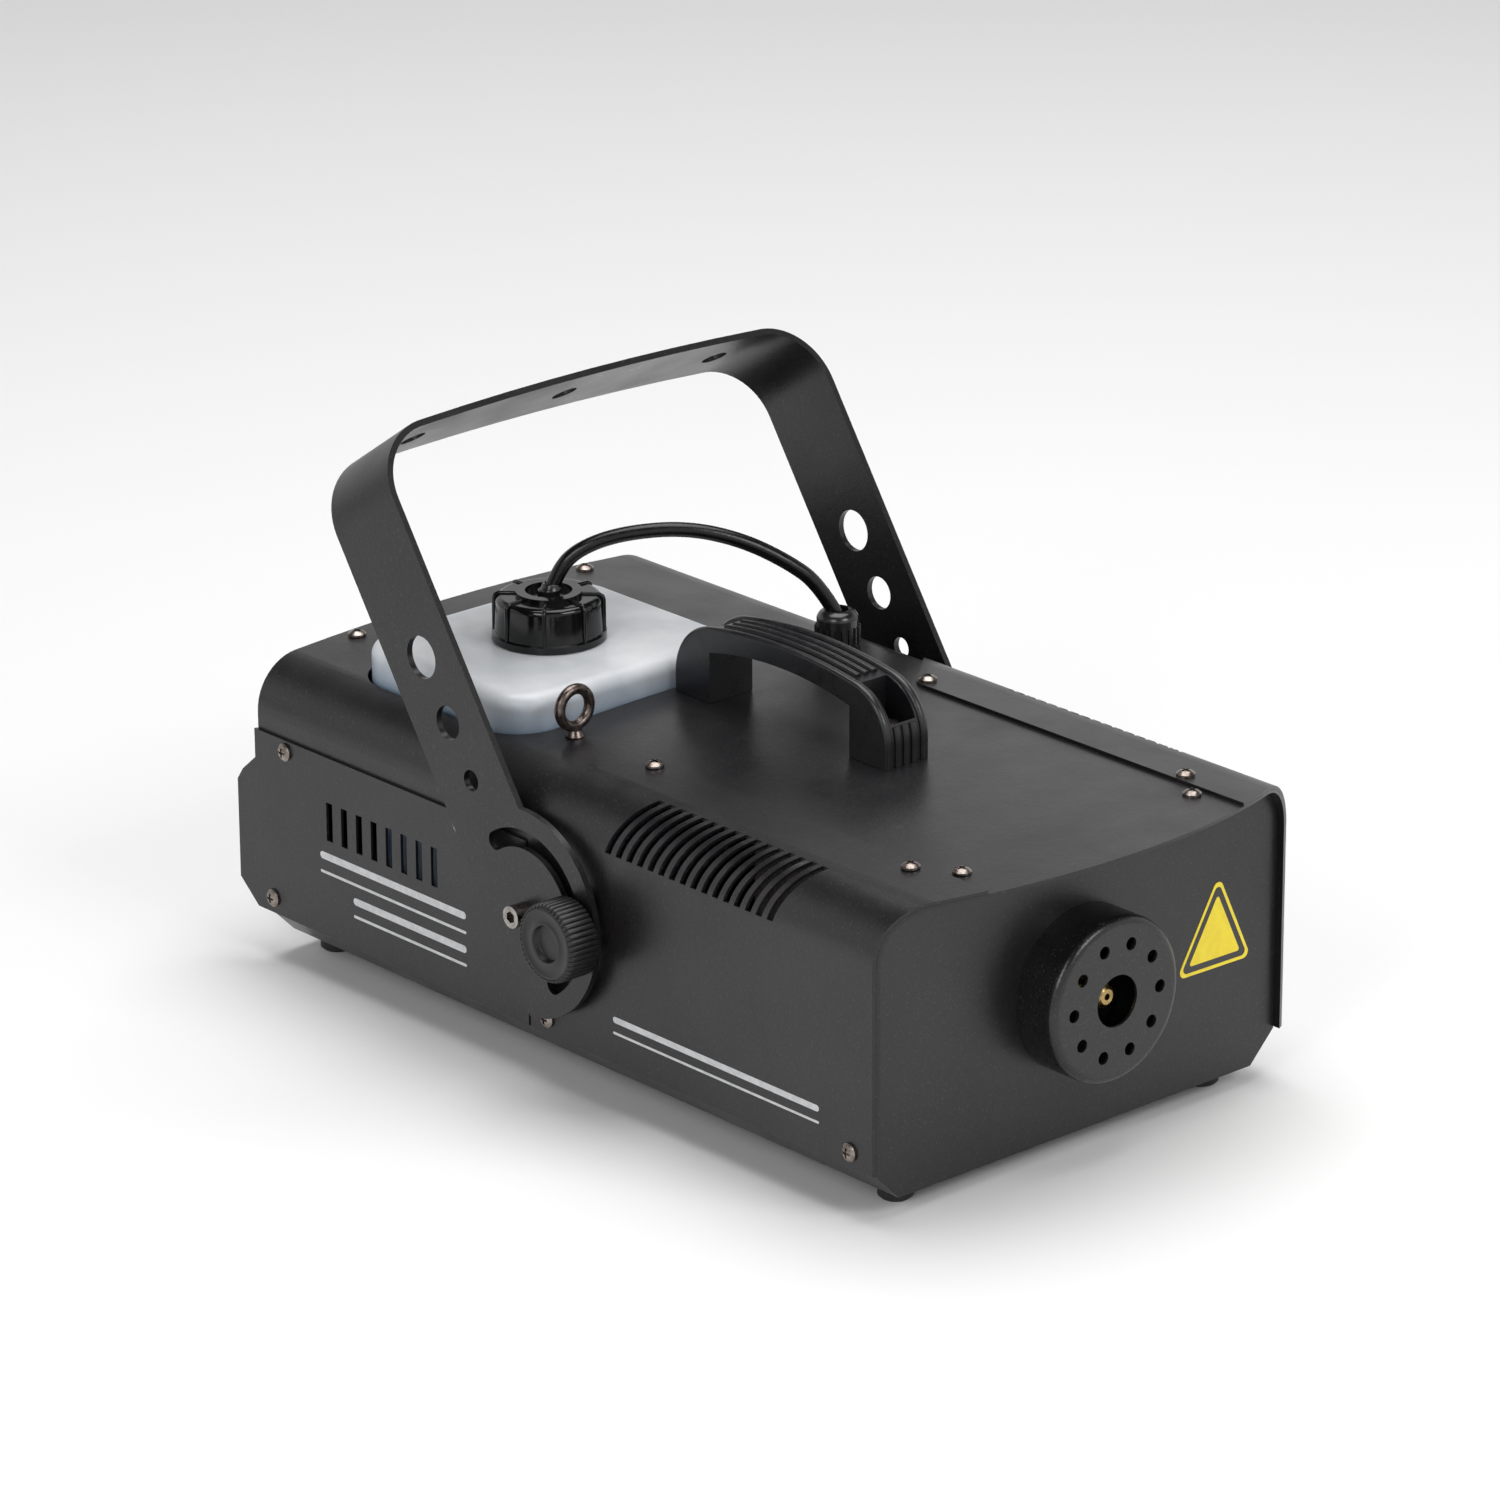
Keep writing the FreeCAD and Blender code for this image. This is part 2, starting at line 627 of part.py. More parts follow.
def make_pan():
    owner = body("Pan")
    wall = "(corner_x + corner_radius - 2 * (sheet + lap))"
    top = level("pan_flange")
    knee = "sheet * 0.4142"
    profile = sketch_on(owner, "XZ_Plane", [
        ("-pan_half", "pan_z"),
        ("pan_half", "pan_z"),
        (f"{wall} - sheet - lap", level("chamfer - sheet - lap")),
        (f"{wall} - sheet - lap", top),
        (f"{wall} - 2 * sheet - lap", top),
        (f"{wall} - 2 * sheet - lap", level(f"chamfer - sheet - lap + {knee}")),
        (f"pan_half - {knee}", level("sheet")),
        (f"-pan_half + {knee}", level("sheet")),
        (f"-{wall} + 2 * sheet + lap", level(f"chamfer - sheet - lap + {knee}")),
        (f"-{wall} + 2 * sheet + lap", top),
        (f"-{wall} + sheet + lap", top),
        (f"-{wall} + sheet + lap", level("chamfer - sheet - lap")),
    ])
    pad(owner, profile, "body_length - 2 * sheet", reverse=True)
    place(owner, ("0", station("sheet"), "0"))
    holes = []
    for x, y in FEET:
        holes.append(rod("z", (x, station(y), "0"), "foot_screw + lap", "drill_short"))
    for x, y in STANDOFFS:
        holes.append(rod("z", (x, station(y), "0"), "foot_screw", "drill_short"))
    keep(cut(owner, *holes, *side_holes()), "chassis_pan")


FEET = [(f"{side}foot_x", y) for side in ("", "-") for y in ("foot_front", "foot_rear")]
STANDOFFS = [(f"board_x + {x}", f"board_y + {y}")
             for x in ("board_gap", "board_width - board_gap")
             for y in ("board_gap", "board_length - board_gap")]


def end_panel_outline():
    """Outline of the front and rear panels, which fill the main cover's section."""
    rounding, side, top = skin("(2 * sheet + 2 * lap)")
    low = level("chamfer")
    shoulder = level("corner_z")
    return [
        ("-pan_half", "pan_z"),
        ("pan_half", "pan_z"),
        (side, low),
        (side, shoulder, rounding),
        (*top, f"crown_span + {rounding}"),
        (f"-{top[0]}", top[1], rounding),
        (f"-{side}", shoulder),
        (f"-{side}", low),
    ]


def make_front_panel():
    owner = body("FrontPanel")
    hole = ("0", level("outlet_z"), "panel_hole")
    profile = sketch_on(owner, "XZ_Plane", end_panel_outline(), [hole])
    pad(owner, profile, "sheet", reverse=True)
    place(owner, ("0", station("0"), "0"))
    notches = [rod("z", (side + "mid_screw_x", station("mid_screw_y"), level("drill_low")),
                   "shank_radius + lap", "drill_long") for side in ("", "-")]
    keep(cut(owner, *notches), "front_panel")


def make_rear_panel():
    owner = body("RearPanel")
    round_hole = ("remote_x", level("remote_z"), "remote_radius + lap")
    profile = sketch_on(owner, "XZ_Plane", end_panel_outline(), [round_hole])
    pad(owner, profile, "sheet", reverse=True)
    place(owner, ("0", station("body_length - sheet"), "0"))
    inlet = centred_block("inlet_x", "inlet_z", station("body_length - 10"),
                          "inlet_width + 2 * lap", "drill_short", "inlet_tall + 2 * lap")
    switch = centred_block("switch_x", "switch_z", station("body_length - 10"),
                           "switch_width + 2 * lap", "drill_short", "switch_tall + 2 * lap")
    keep(cut(owner, inlet, switch), "rear_panel")


def centred_block(x, z, start, width, length, tall):
    """A block centred sideways and upwards on a place, running rearwards."""
    return block((f"{x} - ({width}) / 2", start, level(f"{z} - ({tall}) / 2")),
                 (width, length, tall))


# ------------------------------------------------------------------ fog outlet and heater
def make_outlet():
    outer, thick, bend = "guard_radius", "sheet", "guard_round"
    cup = turned("Guard", "y", ("0", station("-guard_depth"), level("outlet_z")), [
        ("guard_hole", "0"),
        (f"{outer} - {bend}", "0", bend),
        (outer, bend),
        (outer, "guard_depth"),
        (f"{outer} - {thick}", "guard_depth"),
        (f"{outer} - {thick}", bend, f"-({bend} - {thick})"),
        (f"{outer} - {bend}", thick),
        ("guard_hole", thick),
    ])
    hole = sketch_on(cup, "XY_Plane", circles=[("guard_vent_ring", "0", "guard_vent")])
    drilled = pocket(cup, hole, "4 * sheet", midplane=True)
    polar(cup, drilled, "Z_Axis", "guard_vents")
    keep(cup, "nozzle_guard")

    reach = "block_start - (-tip_reach)"
    keep(turned("Tip", "y", ("0", station("-tip_reach"), level("outlet_z")), [
        ("tip_bore", "0"),
        ("tip_radius - 2", "0"),
        ("tip_radius", "2"),
        ("tip_radius", "tip_reach + sheet"),
        ("tip_radius + 3", "tip_reach + sheet"),
        ("tip_radius + 3", reach),
        ("tip_bore", reach),
    ]), "nozzle_tip")

    low = "outlet_z - block_tall / 2"
    rear = "block_start + block_length"
    solid = centred_block("0", "outlet_z", station("block_start"),
                          "block_width", "block_length", "block_tall")
    rod_level = level("outlet_z - rod_drop")
    bores = [rod("y", (side + "rod_x", station("block_start + 8"), rod_level),
                 "rod_radius + bore_gap", "block_length") for side in ("", "-")]
    bores.append(rod("y", ("0", station("block_start - 1"), level("outlet_z")),
                     "tip_bore + 1", "block_length - 10"))
    keep(cut(solid, *bores), "heater_block")
    rods = [rod("y", (side + "rod_x", station("block_start + 9"), rod_level),
                "rod_radius", "block_length - 9 + rod_tail") for side in ("", "-")]
    keep(together(*rods), "heater_elements")

    gap = "(2 * wrap_gap)"
    shell = centred_block("0", "outlet_z", station("block_start + wrap_inset"),
                          f"block_width + {gap} + 2 * wrap", "block_length - 2 * wrap_inset",
                          f"block_tall + {gap} + 2 * wrap")
    core = centred_block("0", "outlet_z", station("block_start"),
                         f"block_width + {gap}", "block_length", f"block_tall + {gap}")
    keep(cut(shell, core), "heater_insulation")

    brackets = []
    inset = "(wrap_inset - bracket_sheet) / 2"
    for start in (f"block_start + {inset}", f"{rear} - {inset} - bracket_sheet"):
        brackets.append(block(("-bracket_width / 2", station(start), level("sheet")),
                              ("bracket_width", "bracket_sheet", f"{low} - sheet")))
    feet = [block((f"{side}", station(start), level("sheet")),
                  ("bracket_foot", "bracket_foot", "bracket_sheet"))
            for side in ("-bracket_width / 2", "bracket_width / 2 - bracket_foot")
            for start in (f"block_start + {inset}", f"{rear} - {inset} - bracket_foot")]
    front = fuse(brackets[0], feet[0], feet[2])
    back = fuse(brackets[1], feet[1], feet[3])
    keep(together(front, back), "heater_brackets")

    keep(rod("y", ("0", station(f"{rear} + face_gap"), level("outlet_z + 8")),
             "thermostat_radius", "thermostat_tall"), "thermostat")
    keep(rod("x", ("-fuse_length / 2", station(f"{rear} + fuse_radius + face_gap"),
                   level("outlet_z - block_tall / 2 + fuse_radius + 1")),
             "fuse_radius", "fuse_length"), "thermal_fuse")


# ------------------------------------------------------------------ pump, tubes and board
def bent_tube(path, bend, radius, bore=None):
    """A tube swept along straight runs that tangent arcs join."""
    points = [Vector(*point) for point in path]
    bends = bend if isinstance(bend, list) else [bend] * (len(points) - 2)
    edges = []
    here = points[0]
    for index in range(1, len(points) - 1):
        corner = points[index]
        into = (corner - points[index - 1]).normalize()
        out = (points[index + 1] - corner).normalize()
        half = into.getAngle(out) / 2
        reach = bends[index - 1] * math.tan(half)
        start = corner - into * reach
        stop = corner + out * reach
        middle = corner + (out - into).normalize() * bends[index - 1] * (1 / math.cos(half) - 1)
        edges.append(Part.makeLine(here, start))
        edges.append(Part.Arc(start, middle, stop).toShape())
        here = stop
    edges.append(Part.makeLine(here, points[-1]))
    spine = Part.Wire(edges)
    along = (points[1] - points[0]).normalize()

    def swept(size):
        ring = Part.Wire([Part.makeCircle(size, points[0], along)])
        return spine.makePipeShell([ring], True, False)
    shape = swept(radius)
    if bore:
        shape = shape.cut(swept(bore))
    return shape, spine.Length


def feature(label, shape):
    piece = doc.addObject("Part::Feature", "Piece")
    piece.Shape = shape
    return keep(piece, label)


def make_pump():
    x, z = "pump_x", level("pump_z")
    end = "pump_start + pump_length"
    barrel = rod("y", (x, station("pump_start"), z), "pump_radius", "pump_length")
    stub_in = rod("y", (x, station("pump_start - stub_length"), z), "stub_radius", "stub_length")
    stub_out = rod("y", (x, station(end), z), "stub_radius", "stub_length")
    keep(fuse(barrel, stub_in, stub_out), "pump_barrel")
    coil = centred_block(x, "pump_z", station("coil_start"), "coil_width", "coil_length",
                         "coil_tall")
    keep(cut(coil, rod("y", (x, station("coil_start - 1"), z), "pump_radius + face_gap",
                       "coil_length + 2")), "pump_coil")
    base = level("sheet")
    under = "pump_z - coil_tall / 2 - sheet"
    saddle = block((f"{x} - coil_width / 2", station("coil_start"), base),
                   ("coil_width", "coil_length", under))
    hollow = block((f"{x} - coil_width / 2 + bracket_sheet", station("coil_start - 1"), base),
                   ("coil_width - 2 * bracket_sheet", "coil_length + 2",
                    f"{under} - bracket_sheet"))
    keep(cut(saddle, hollow), "pump_bracket")

    inlet = value(station("pump_start - stub_length"))
    top = value(level("suction_top"))
    height = value(z)
    down = [(value("gland_x"), value(station("gland_y")), top),
            (value("gland_x"), value(station("gland_y")), height),
            (value(x), inlet, height)]
    shape, length = bent_tube(down, value("tube_bend"), value("tube_radius"))
    feature("suction_tube", shape)

    tail = value(station(f"{end} + stub_length"))
    feed_x = value("feed_x")
    feed_z = value(level("feed_z"))
    rear = value(station("block_start + block_length"))
    away = tail + value("feed_bend")
    path = [(value(x), tail, height), (value(x), away, height), (feed_x, away, height),
            (feed_x, away, feed_z), (feed_x, value(station("240")), feed_z),
            (feed_x / 2, value(station("215")), feed_z), (feed_x / 2, rear, feed_z)]
    bend = value("feed_bend") - 1
    shape, length = bent_tube(path, bend, value("feed_radius"))
    feature("feed_pipe", shape)


def make_board():
    z = level("board_z")
    board = block(("board_x", station("board_y"), z),
                  ("board_width", "board_length", "board_thick"))
    holes = [rod("z", (x, station(y), level("board_z - 1")), "foot_screw", "4")
             for x, y in STANDOFFS]
    keep(cut(board, *holes), "control_board")
    posts = [rod("z", (x, station(y), level("sheet")), "standoff_radius", "board_z - sheet")
             for x, y in STANDOFFS]
    keep(together(*posts), "board_standoffs")
    top = level("board_z + board_thick")
    keep(block(("board_x + 8", station("board_y + 10"), top),
               ("core_width", "core_length", "core_tall")), "transformer")
    keep(block(("board_x + 8", station("board_y + 50"), top),
               ("relay_width", "relay_length", "relay_tall")), "heater_relay")
    keep(block(("board_x + 8", station("board_y + board_length - terminal_length"), top),
               ("terminal_width", "terminal_length", "terminal_tall")), "terminal_block")


# ------------------------------------------------------------------ rear fittings
def make_rear_fittings():
    face = "body_length"
    inner = centred_block("inlet_x", "inlet_z", station(f"{face} - inlet_depth"),
                          "inlet_width", "inlet_depth", "inlet_tall")
    flange = centred_block("inlet_x", "inlet_z", station(face),
                           "inlet_width + 2 * inlet_rim", "inlet_flange",
                           "inlet_tall + 2 * inlet_rim")
    outside = f"{face} + inlet_flange"
    hollow = centred_block("inlet_x", "inlet_z + socket_rise",
                           station(f"{outside} - socket_deep"),
                           "socket_width", "socket_deep + 1", "socket_tall")
    slot = centred_block("inlet_x", "inlet_z + drawer_rise",
                         station(f"{outside} - drawer_deep - slide_gap"),
                         "drawer_width + 2 * slide_gap", "drawer_deep + 2",
                         "drawer_tall + 2 * slide_gap")
    shell = cut(fuse(inner, flange), hollow, slot)
    keep(shell, "power_inlet")
    pins = []
    for across in ("-pin_pitch", "0", "pin_pitch"):
        pins.append(rod("y", (f"inlet_x + {across}", station(f"{outside} - socket_deep"),
                              level("inlet_z + socket_rise")), "pin_radius", "pin_length"))
    drawer = centred_block("inlet_x", "inlet_z + drawer_rise",
                           station(f"{outside} - drawer_deep"),
                           "drawer_width", "drawer_deep", "drawer_tall")
    lip = centred_block("inlet_x", "inlet_z + drawer_rise", station(f"{outside} + slide_gap"),
                        "drawer_width + 2", "drawer_proud", "drawer_tall + 2")
    neck = centred_block("inlet_x", "inlet_z + drawer_rise", station(f"{outside} - 1"),
                         "drawer_width", "1 + slide_gap", "drawer_tall")
    keep(fuse(drawer, neck, lip), "fuse_drawer")

    frame = centred_block("switch_x", "switch_z", station(f"{face} - switch_depth"),
                          "switch_width", "switch_depth", "switch_tall")
    rim = centred_block("switch_x", "switch_z", station(face), "switch_width + 2 * switch_rim",
                        "switch_flange", "switch_tall + 2 * switch_rim")
    well = centred_block("switch_x", "switch_z", station(f"{face} - switch_depth + 2"),
                         "rocker_width + 2 * rocker_gap", "switch_depth + 5",
                         "2 * rocker_radius")
    hinge = station(f"{face} - rocker_rise * 2")
    sockets = rod("x", ("switch_x - switch_width / 2 + 0.6", hinge, level("switch_z")),
                  "rocker_pin + bore_gap", "switch_width - 1.2")
    keep(cut(fuse(frame, rim), well, sockets), "switch_frame")
    wheel = rod("x", ("switch_x - rocker_width / 2", hinge, level("switch_z")),
                "rocker_radius - rocker_gap", "rocker_width")
    front = block(("switch_x - 20", station(f"{face} - switch_depth + 4"),
                   level("switch_z - 20")), ("40", "switch_depth - 4 - rocker_rise * 2 - 5", "40"))
    hollow_face = rod("x", ("switch_x - 20", f"{hinge} + rocker_reach * cos(rocker_lean)",
                            level("switch_z - rocker_reach * sin(rocker_lean)")),
                      "rocker_hollow", "40")
    axle = rod("x", ("switch_x - switch_width / 2 + 0.8", hinge, level("switch_z")),
               "rocker_pin", "switch_width - 1.6")
    keep(fuse(cut(wheel, front, hollow_face), axle), "switch_rocker")

    barrel = rod("y", ("remote_x", station(f"{face} - remote_depth"), level("remote_z")),
                 "remote_radius", "remote_depth")
    ring = rod("y", ("remote_x", station(face), level("remote_z")),
               "remote_flange", "inlet_flange")
    mouth = rod("y", ("remote_x", station(f"{outside} - remote_deep"), level("remote_z")),
                "remote_mouth", "remote_deep + 1")
    keep(cut(fuse(barrel, ring), mouth), "remote_socket")
    contacts = []
    for turn in range(3):
        angle = math.radians(90 + 120 * turn)
        across, up = math.cos(angle), math.sin(angle)
        contacts.append(rod("y", (f"remote_x + remote_mouth / 2 * {across:.4f}",
                                  station(f"{outside} - remote_deep"),
                                  level(f"remote_z + remote_mouth / 2 * {up:.4f}")),
                            "pin_radius / 2", "remote_deep - 3"))
    keep(together(*pins, *contacts), "connector_pins")


# ------------------------------------------------------------------ yoke
ARM = "(corner_x + corner_radius + yoke_gap)"


def make_yoke():
    owner = body("YokeStrip")
    outer = f"({ARM} + yoke_sheet)"
    inner_bend = "(yoke_bend - yoke_sheet)"
    shoulder = "yoke_reach - yoke_bend"
    under = "yoke_reach - yoke_sheet"
    flat = f"({outer} - yoke_bend)"
    arch = f"(({flat}^2 + yoke_arch^2) / (2 * yoke_arch))"
    profile = sketch_on(owner, "XZ_Plane", [
        (outer, "0"),
        (outer, shoulder, "yoke_bend"),
        (flat, "yoke_reach", arch),
        (f"-{flat}", "yoke_reach", "yoke_bend"),
        (f"-{outer}", shoulder),
        (f"-{outer}", "0"),
        (f"-{ARM}", "0"),
        (f"-{ARM}", shoulder, f"-{inner_bend}"),
        (f"-{flat}", under, f"-({arch} - yoke_sheet)"),
        (flat, under, f"-{inner_bend}"),
        (ARM, shoulder),
        (ARM, "0"),
    ])
    pad(owner, profile, "yoke_width", midplane=True)

    ends = []
    holes = []
    for side in (1, -1):
        start = ARM if side > 0 else f"-{outer}"
        disc = rod("x", (start, "0", "0"), "yoke_disc", "yoke_sheet")
        behind = block((f"{start} - 1", "yoke_width / 2", "-yoke_disc - 1"),
                       ("yoke_sheet + 2", "yoke_disc", "2 * yoke_disc + 2"))
        ends.append(cut(disc, behind))
    whole = "2 * (corner_x + corner_radius + 20)"
    left = "-(corner_x + corner_radius + 20)"
    for radius, at in (("pivot_hole", "0"), ("arm_hole_a", "arm_hole_a_at"),
                       ("arm_hole_b", "arm_hole_b_at"), ("arm_hole_c", "arm_hole_c_at")):
        holes.append(rod("x", (left, "0", at), radius, whole))
    holes.append(arc_slot(left, whole))
    for x in ("-bar_hole_x", "0", "bar_hole_x"):
        holes.append(rod("z", (x, "0", "yoke_reach - 20"), "bar_hole", "40"))
    shape = cut(fuse(owner, *ends), *holes)
    place(shape, ("0", station("pivot_y"), level("pivot_z")), Rotation(Vector(-1, 0, 0), 1))
    shape.setExpression("Placement.Rotation.Angle", cell("yoke_tilt"))
    keep(shape, "yoke")


def arc_slot(start, length):
    """Half ring in front of the pivot, with round ends, through both arms."""
    half = "bolt_slot_width / 2"
    outer = rod("x", (start, "0", "0"), f"bolt_slot_radius + {half}", length)
    inner = rod("x", (start, "0", "0"), f"bolt_slot_radius - {half}", length)
    ring = cut(outer, inner)
    front = block((start, "-drill_mid", "-drill_mid"), (length, "drill_mid", "2 * drill_mid"))
    ends = [rod("x", (start, "0", f"{sign}bolt_slot_radius"), half, length)
            for sign in ("", "-")]
    return fuse(common(ring, front), *ends)


def make_yoke_fittings():
    wall = "(corner_x + corner_radius)"
    pivot = (station("pivot_y"), level("pivot_z"))
    clamp = (station("pivot_y - clamp_back"), level("pivot_z"))
    spacer_long = "yoke_gap - spacer_gap"
    keep(both(together(
        tube("x", (wall, *pivot), "spacer_radius", "pivot_shank + lap", spacer_long),
        tube("x", (wall, *clamp), "spacer_radius", "stud_radius + lap", spacer_long))),
        "yoke_spacers")

    inside = "(corner_x + corner_radius - 2 * sheet - lap)"
    outside = f"({ARM} + yoke_sheet + face_gap)"
    shank = rod("x", (f"{inside} - nut_thick - 2", *pivot), "pivot_shank",
                f"{outside} - {inside} + nut_thick + 2")
    head = rod("x", (outside, *pivot), "pivot_head", "pivot_head_length")
    key = hexagon("x", (f"{outside} + pivot_head_length - hex_depth", *pivot), "hex_key",
                  "drill_short")
    keep(both(cut(fuse(shank, head), key)), "pivot_bolts")
    nut = hexagon("x", (f"{inside} - nut_thick - face_gap", *pivot), "nut_across", "nut_thick")
    bore = rod("x", (f"{inside} - 20", *pivot), "pivot_shank + thread_gap", "30")
    pivot_nuts = both(cut(nut, bore))
    keep(together(pivot_nuts, eye_nut()), "small_nuts")

    washer_at = outside
    knob_at = f"({outside} + washer_thick + face_gap)"
    keep(both(tube("x", (washer_at, *clamp), "washer_radius", "stud_radius + lap",
                   "washer_thick")), "clamp_washers")
    stud_end = f"({knob_at} + knob_bore_deep - 1)"
    keep(both(rod("x", (f"{inside} - nut_thick - 2", *clamp), "stud_radius",
                  f"{stud_end} - {inside} + nut_thick + 2")), "clamp_studs")
    nut = hexagon("x", (f"{inside} - nut_thick - face_gap", *clamp), "stud_nut_across",
                  "nut_thick")
    bore = rod("x", (f"{inside} - 20", *clamp), "stud_radius + thread_gap", "30")
    keep(both(cut(nut, bore)), "clamp_nuts")

    knob = turned("Knob", "x", (knob_at, *clamp), [
        ("stud_radius + bore_gap", "0"),
        ("knob_radius - 3", "0"),
        ("knob_radius", "2"),
        ("knob_radius", "knob_length - 2"),
        ("knob_radius - 2", "knob_length"),
        ("knob_dish", "knob_length"),
        ("knob_dish - 1", "knob_length - knob_dish_deep"),
        ("0", "knob_length - knob_dish_deep"),
        ("0", "knob_bore_deep"),
        ("stud_radius + bore_gap", "knob_bore_deep"),
    ])
    flute = sketch_on(knob, "XY_Plane", circles=[("knob_radius + 0.7", "0", "knob_flute")])
    grooves = pocket(knob, flute, "2 * knob_length + 2", midplane=True)
    polar(knob, grooves, "Z_Axis", "knob_flutes")
    keep(knob, "right_clamp_knob")
    keep(mirror(knob), "left_clamp_knob")


# ------------------------------------------------------------------ carry handle
def make_handle():
    owner = body("Handle")
    start = "handle_y"
    end = "(handle_y + handle_length)"
    base = crown_level("0", "(sheet + lap)") + " + face_gap"
    inner = f"{base} + handle_inner"
    shoulder = f"{base} + handle_shoulder"
    turn = f"{base} + handle_turn_z"
    outline = [
        (station(start), base),
        (station(f"{start} + handle_foot"), base),
        (station(f"{start} + handle_foot"), inner, "-handle_under"),
        (station(f"{end} - handle_foot"), inner),
        (station(f"{end} - handle_foot"), base),
        (station(end), base),
        (station(end), shoulder, "handle_end"),
        (station(f"{end} - handle_turn_y"), turn, "handle_bow"),
        (station(f"{start} + handle_turn_y"), turn, "handle_end"),
        (station(start), shoulder),
    ]
    pad(owner, sketch_on(owner, "YZ_Plane", outline), "handle_width", midplane=True)
    tools = []
    for near, centre in ((start, f"{start} + handle_foot / 2"),
                         (f"{end} - handle_foot", f"{end} - handle_foot / 2")):
        tools.append(block(("-pocket_width / 2", station(f"{centre} - pocket_length / 2"),
                            f"{base} + pocket_floor"),
                           ("pocket_width", "pocket_length", "drill_mid")))
        tools.append(rod("z", ("0", station(centre), f"{base} - 1"),
                         "handle_screw + lap", "drill_mid"))
    keep(cut(owner, *tools), "carry_handle")
    screws = []
    for centre in (f"{start} + handle_foot / 2", f"{end} - handle_foot / 2"):
        low = f"{base} - 12"
        shank = rod("z", ("0", station(centre), low), "handle_screw",
                    "12 + pocket_floor + face_gap")
        head = rod("z", ("0", station(centre), f"{base} + pocket_floor + face_gap"),
                   "handle_head", "handle_head_tall")
        screws.append(fuse(shank, head))
    keep(together(*screws), "handle_screws")
    nuts = []
    for centre in (f"{start} + handle_foot / 2", f"{end} - handle_foot / 2"):
        nut = hexagon("z", ("0", station(centre), f"{base} - 7"), "8", "4")
        nuts.append(cut(nut, rod("z", ("0", station(centre), f"{base} - 8"),
                                 "handle_screw + thread_gap", "6")))
    keep(together(*nuts), "handle_nuts")


# ------------------------------------------------------------------ tank and its cap
def make_tank():
    centre = ("tank_x", station("tank_y"))

    def vessel(inset, low, high):
        owner = body("Vessel")
        outline = rounded(f"(tank_width / 2 - {inset})", f"(tank_length / 2 - {inset})",
                          f"(tank_round - {inset})")
        pad(owner, sketch_on(owner, "XY_Plane", outline), f"{high} - ({low})")
        round_edges(owner, f"tank_edge - {inset}", lambda middle, along: abs(along.z) < 0.1)
        place(owner, (*centre, low))
        return owner

    low, top = level("tank_floor"), level("tank_top")
    outer = vessel("0", low, top)
    inner = vessel("tank_wall", f"{low} + tank_wall", f"{top} - tank_wall")
    neck = rod("z", (*centre, f"{top} - tank_wall"), "neck_radius", "neck_tall + tank_wall")
    bore = rod("z", (*centre, f"{top} - 2 * tank_wall"), "neck_bore", "neck_tall + 20")
    keep(cut(fuse(outer, neck), inner, bore), "tank")

    wide = "(tank_width / 2 + tray_gap + tray_wall)"
    long = "(tank_length / 2 + tray_gap + tray_wall)"
    bend = "(tank_round + tray_gap + tray_wall)"
    tray = body("Tray")
    pad(tray, sketch_on(tray, "XY_Plane", rounded(wide, long, bend)), "tray_tall")
    hollow = body("TrayHollow")
    inside = rounded(f"({wide} - tray_wall)", f"({long} - tray_wall)", f"({bend} - tray_wall)")
    pad(hollow, sketch_on(hollow, "XY_Plane", inside), "tray_tall")
    place(tray, (*centre, level("sheet")))
    place(hollow, (*centre, level("tank_floor - 0.05")))
    keep(cut(tray, hollow), "tank_tray")


def make_cap():
    centre = ("tank_x", station("tank_y"))
    low = level("tank_top + cap_lift")
    outer, wall = "cap_radius", "cap_wall"
    cap = turned("Cap", "z", (*centre, low), [
        (f"{outer} - {wall}", "0"),
        ("cap_flange", "0"),
        ("cap_flange", "cap_flange_tall"),
        (outer, "cap_flange_tall + 0.6"),
        (f"{outer} - 0.6", "cap_tall - 3", "3"),
        (f"{outer} - 3.6", "cap_tall"),
        ("cap_ring", "cap_tall"),
        ("cap_ring", "cap_tall + cap_ring_tall"),
        ("cap_ring_bore", "cap_tall + cap_ring_tall"),
        ("cap_ring_bore", "cap_tall - 1"),
        ("cap_hole", "cap_tall - 1"),
        ("cap_hole", f"cap_tall - {wall} - 1"),
        (f"{outer} - {wall}", f"cap_tall - {wall} - 1"),
    ])
    keep(cap, "tank_cap")

    # hose barb that the cap turns round, with the pick-up tube and its filter below
    roof = f"{low} + cap_tall - cap_wall - 1"
    barb = turned("Barb", "z", (*centre, roof), [
        ("pickup_radius", "-barb_flange_tall - face_gap"),
        ("barb_flange", "-barb_flange_tall - face_gap"),
        ("barb_flange", "-face_gap"),
        ("barb_radius", "-face_gap"),
        ("barb_radius", "cap_wall + barb_tall"),
        ("barb_bore", "cap_wall + barb_tall"),
        ("barb_bore", "cap_wall"),
        ("pickup_radius", "cap_wall - 1"),
    ])
    keep(barb, "hose_barb")
    filter_top = level("tank_floor + tank_wall + filter_low + filter_tall")
    keep(tube("z", (*centre, filter_top), "pickup_radius", "pickup_radius - 1",
              f"{roof} + cap_wall - 1 - ({filter_top})"), "pickup_tube")
    keep(cut(rod("z", (*centre, level("tank_floor + tank_wall + filter_low")),
                 "filter_radius", "filter_tall + 4"),
             rod("z", (*centre, filter_top), "pickup_radius + face_gap", "10")),
         "pickup_filter")


# ------------------------------------------------------------------ fittings on the top
def make_hose():
    shape, length = bent_tube(HOSE_ROUTE, hose_bends(), value("hose_radius"))
    section = math.pi * value("hose_radius") ** 2
    print(f"fluid hose: {length:.1f} mm long, volume {shape.Volume / (section * length):.4f}"
          " of ideal")
    feature("fluid_hose", shape)


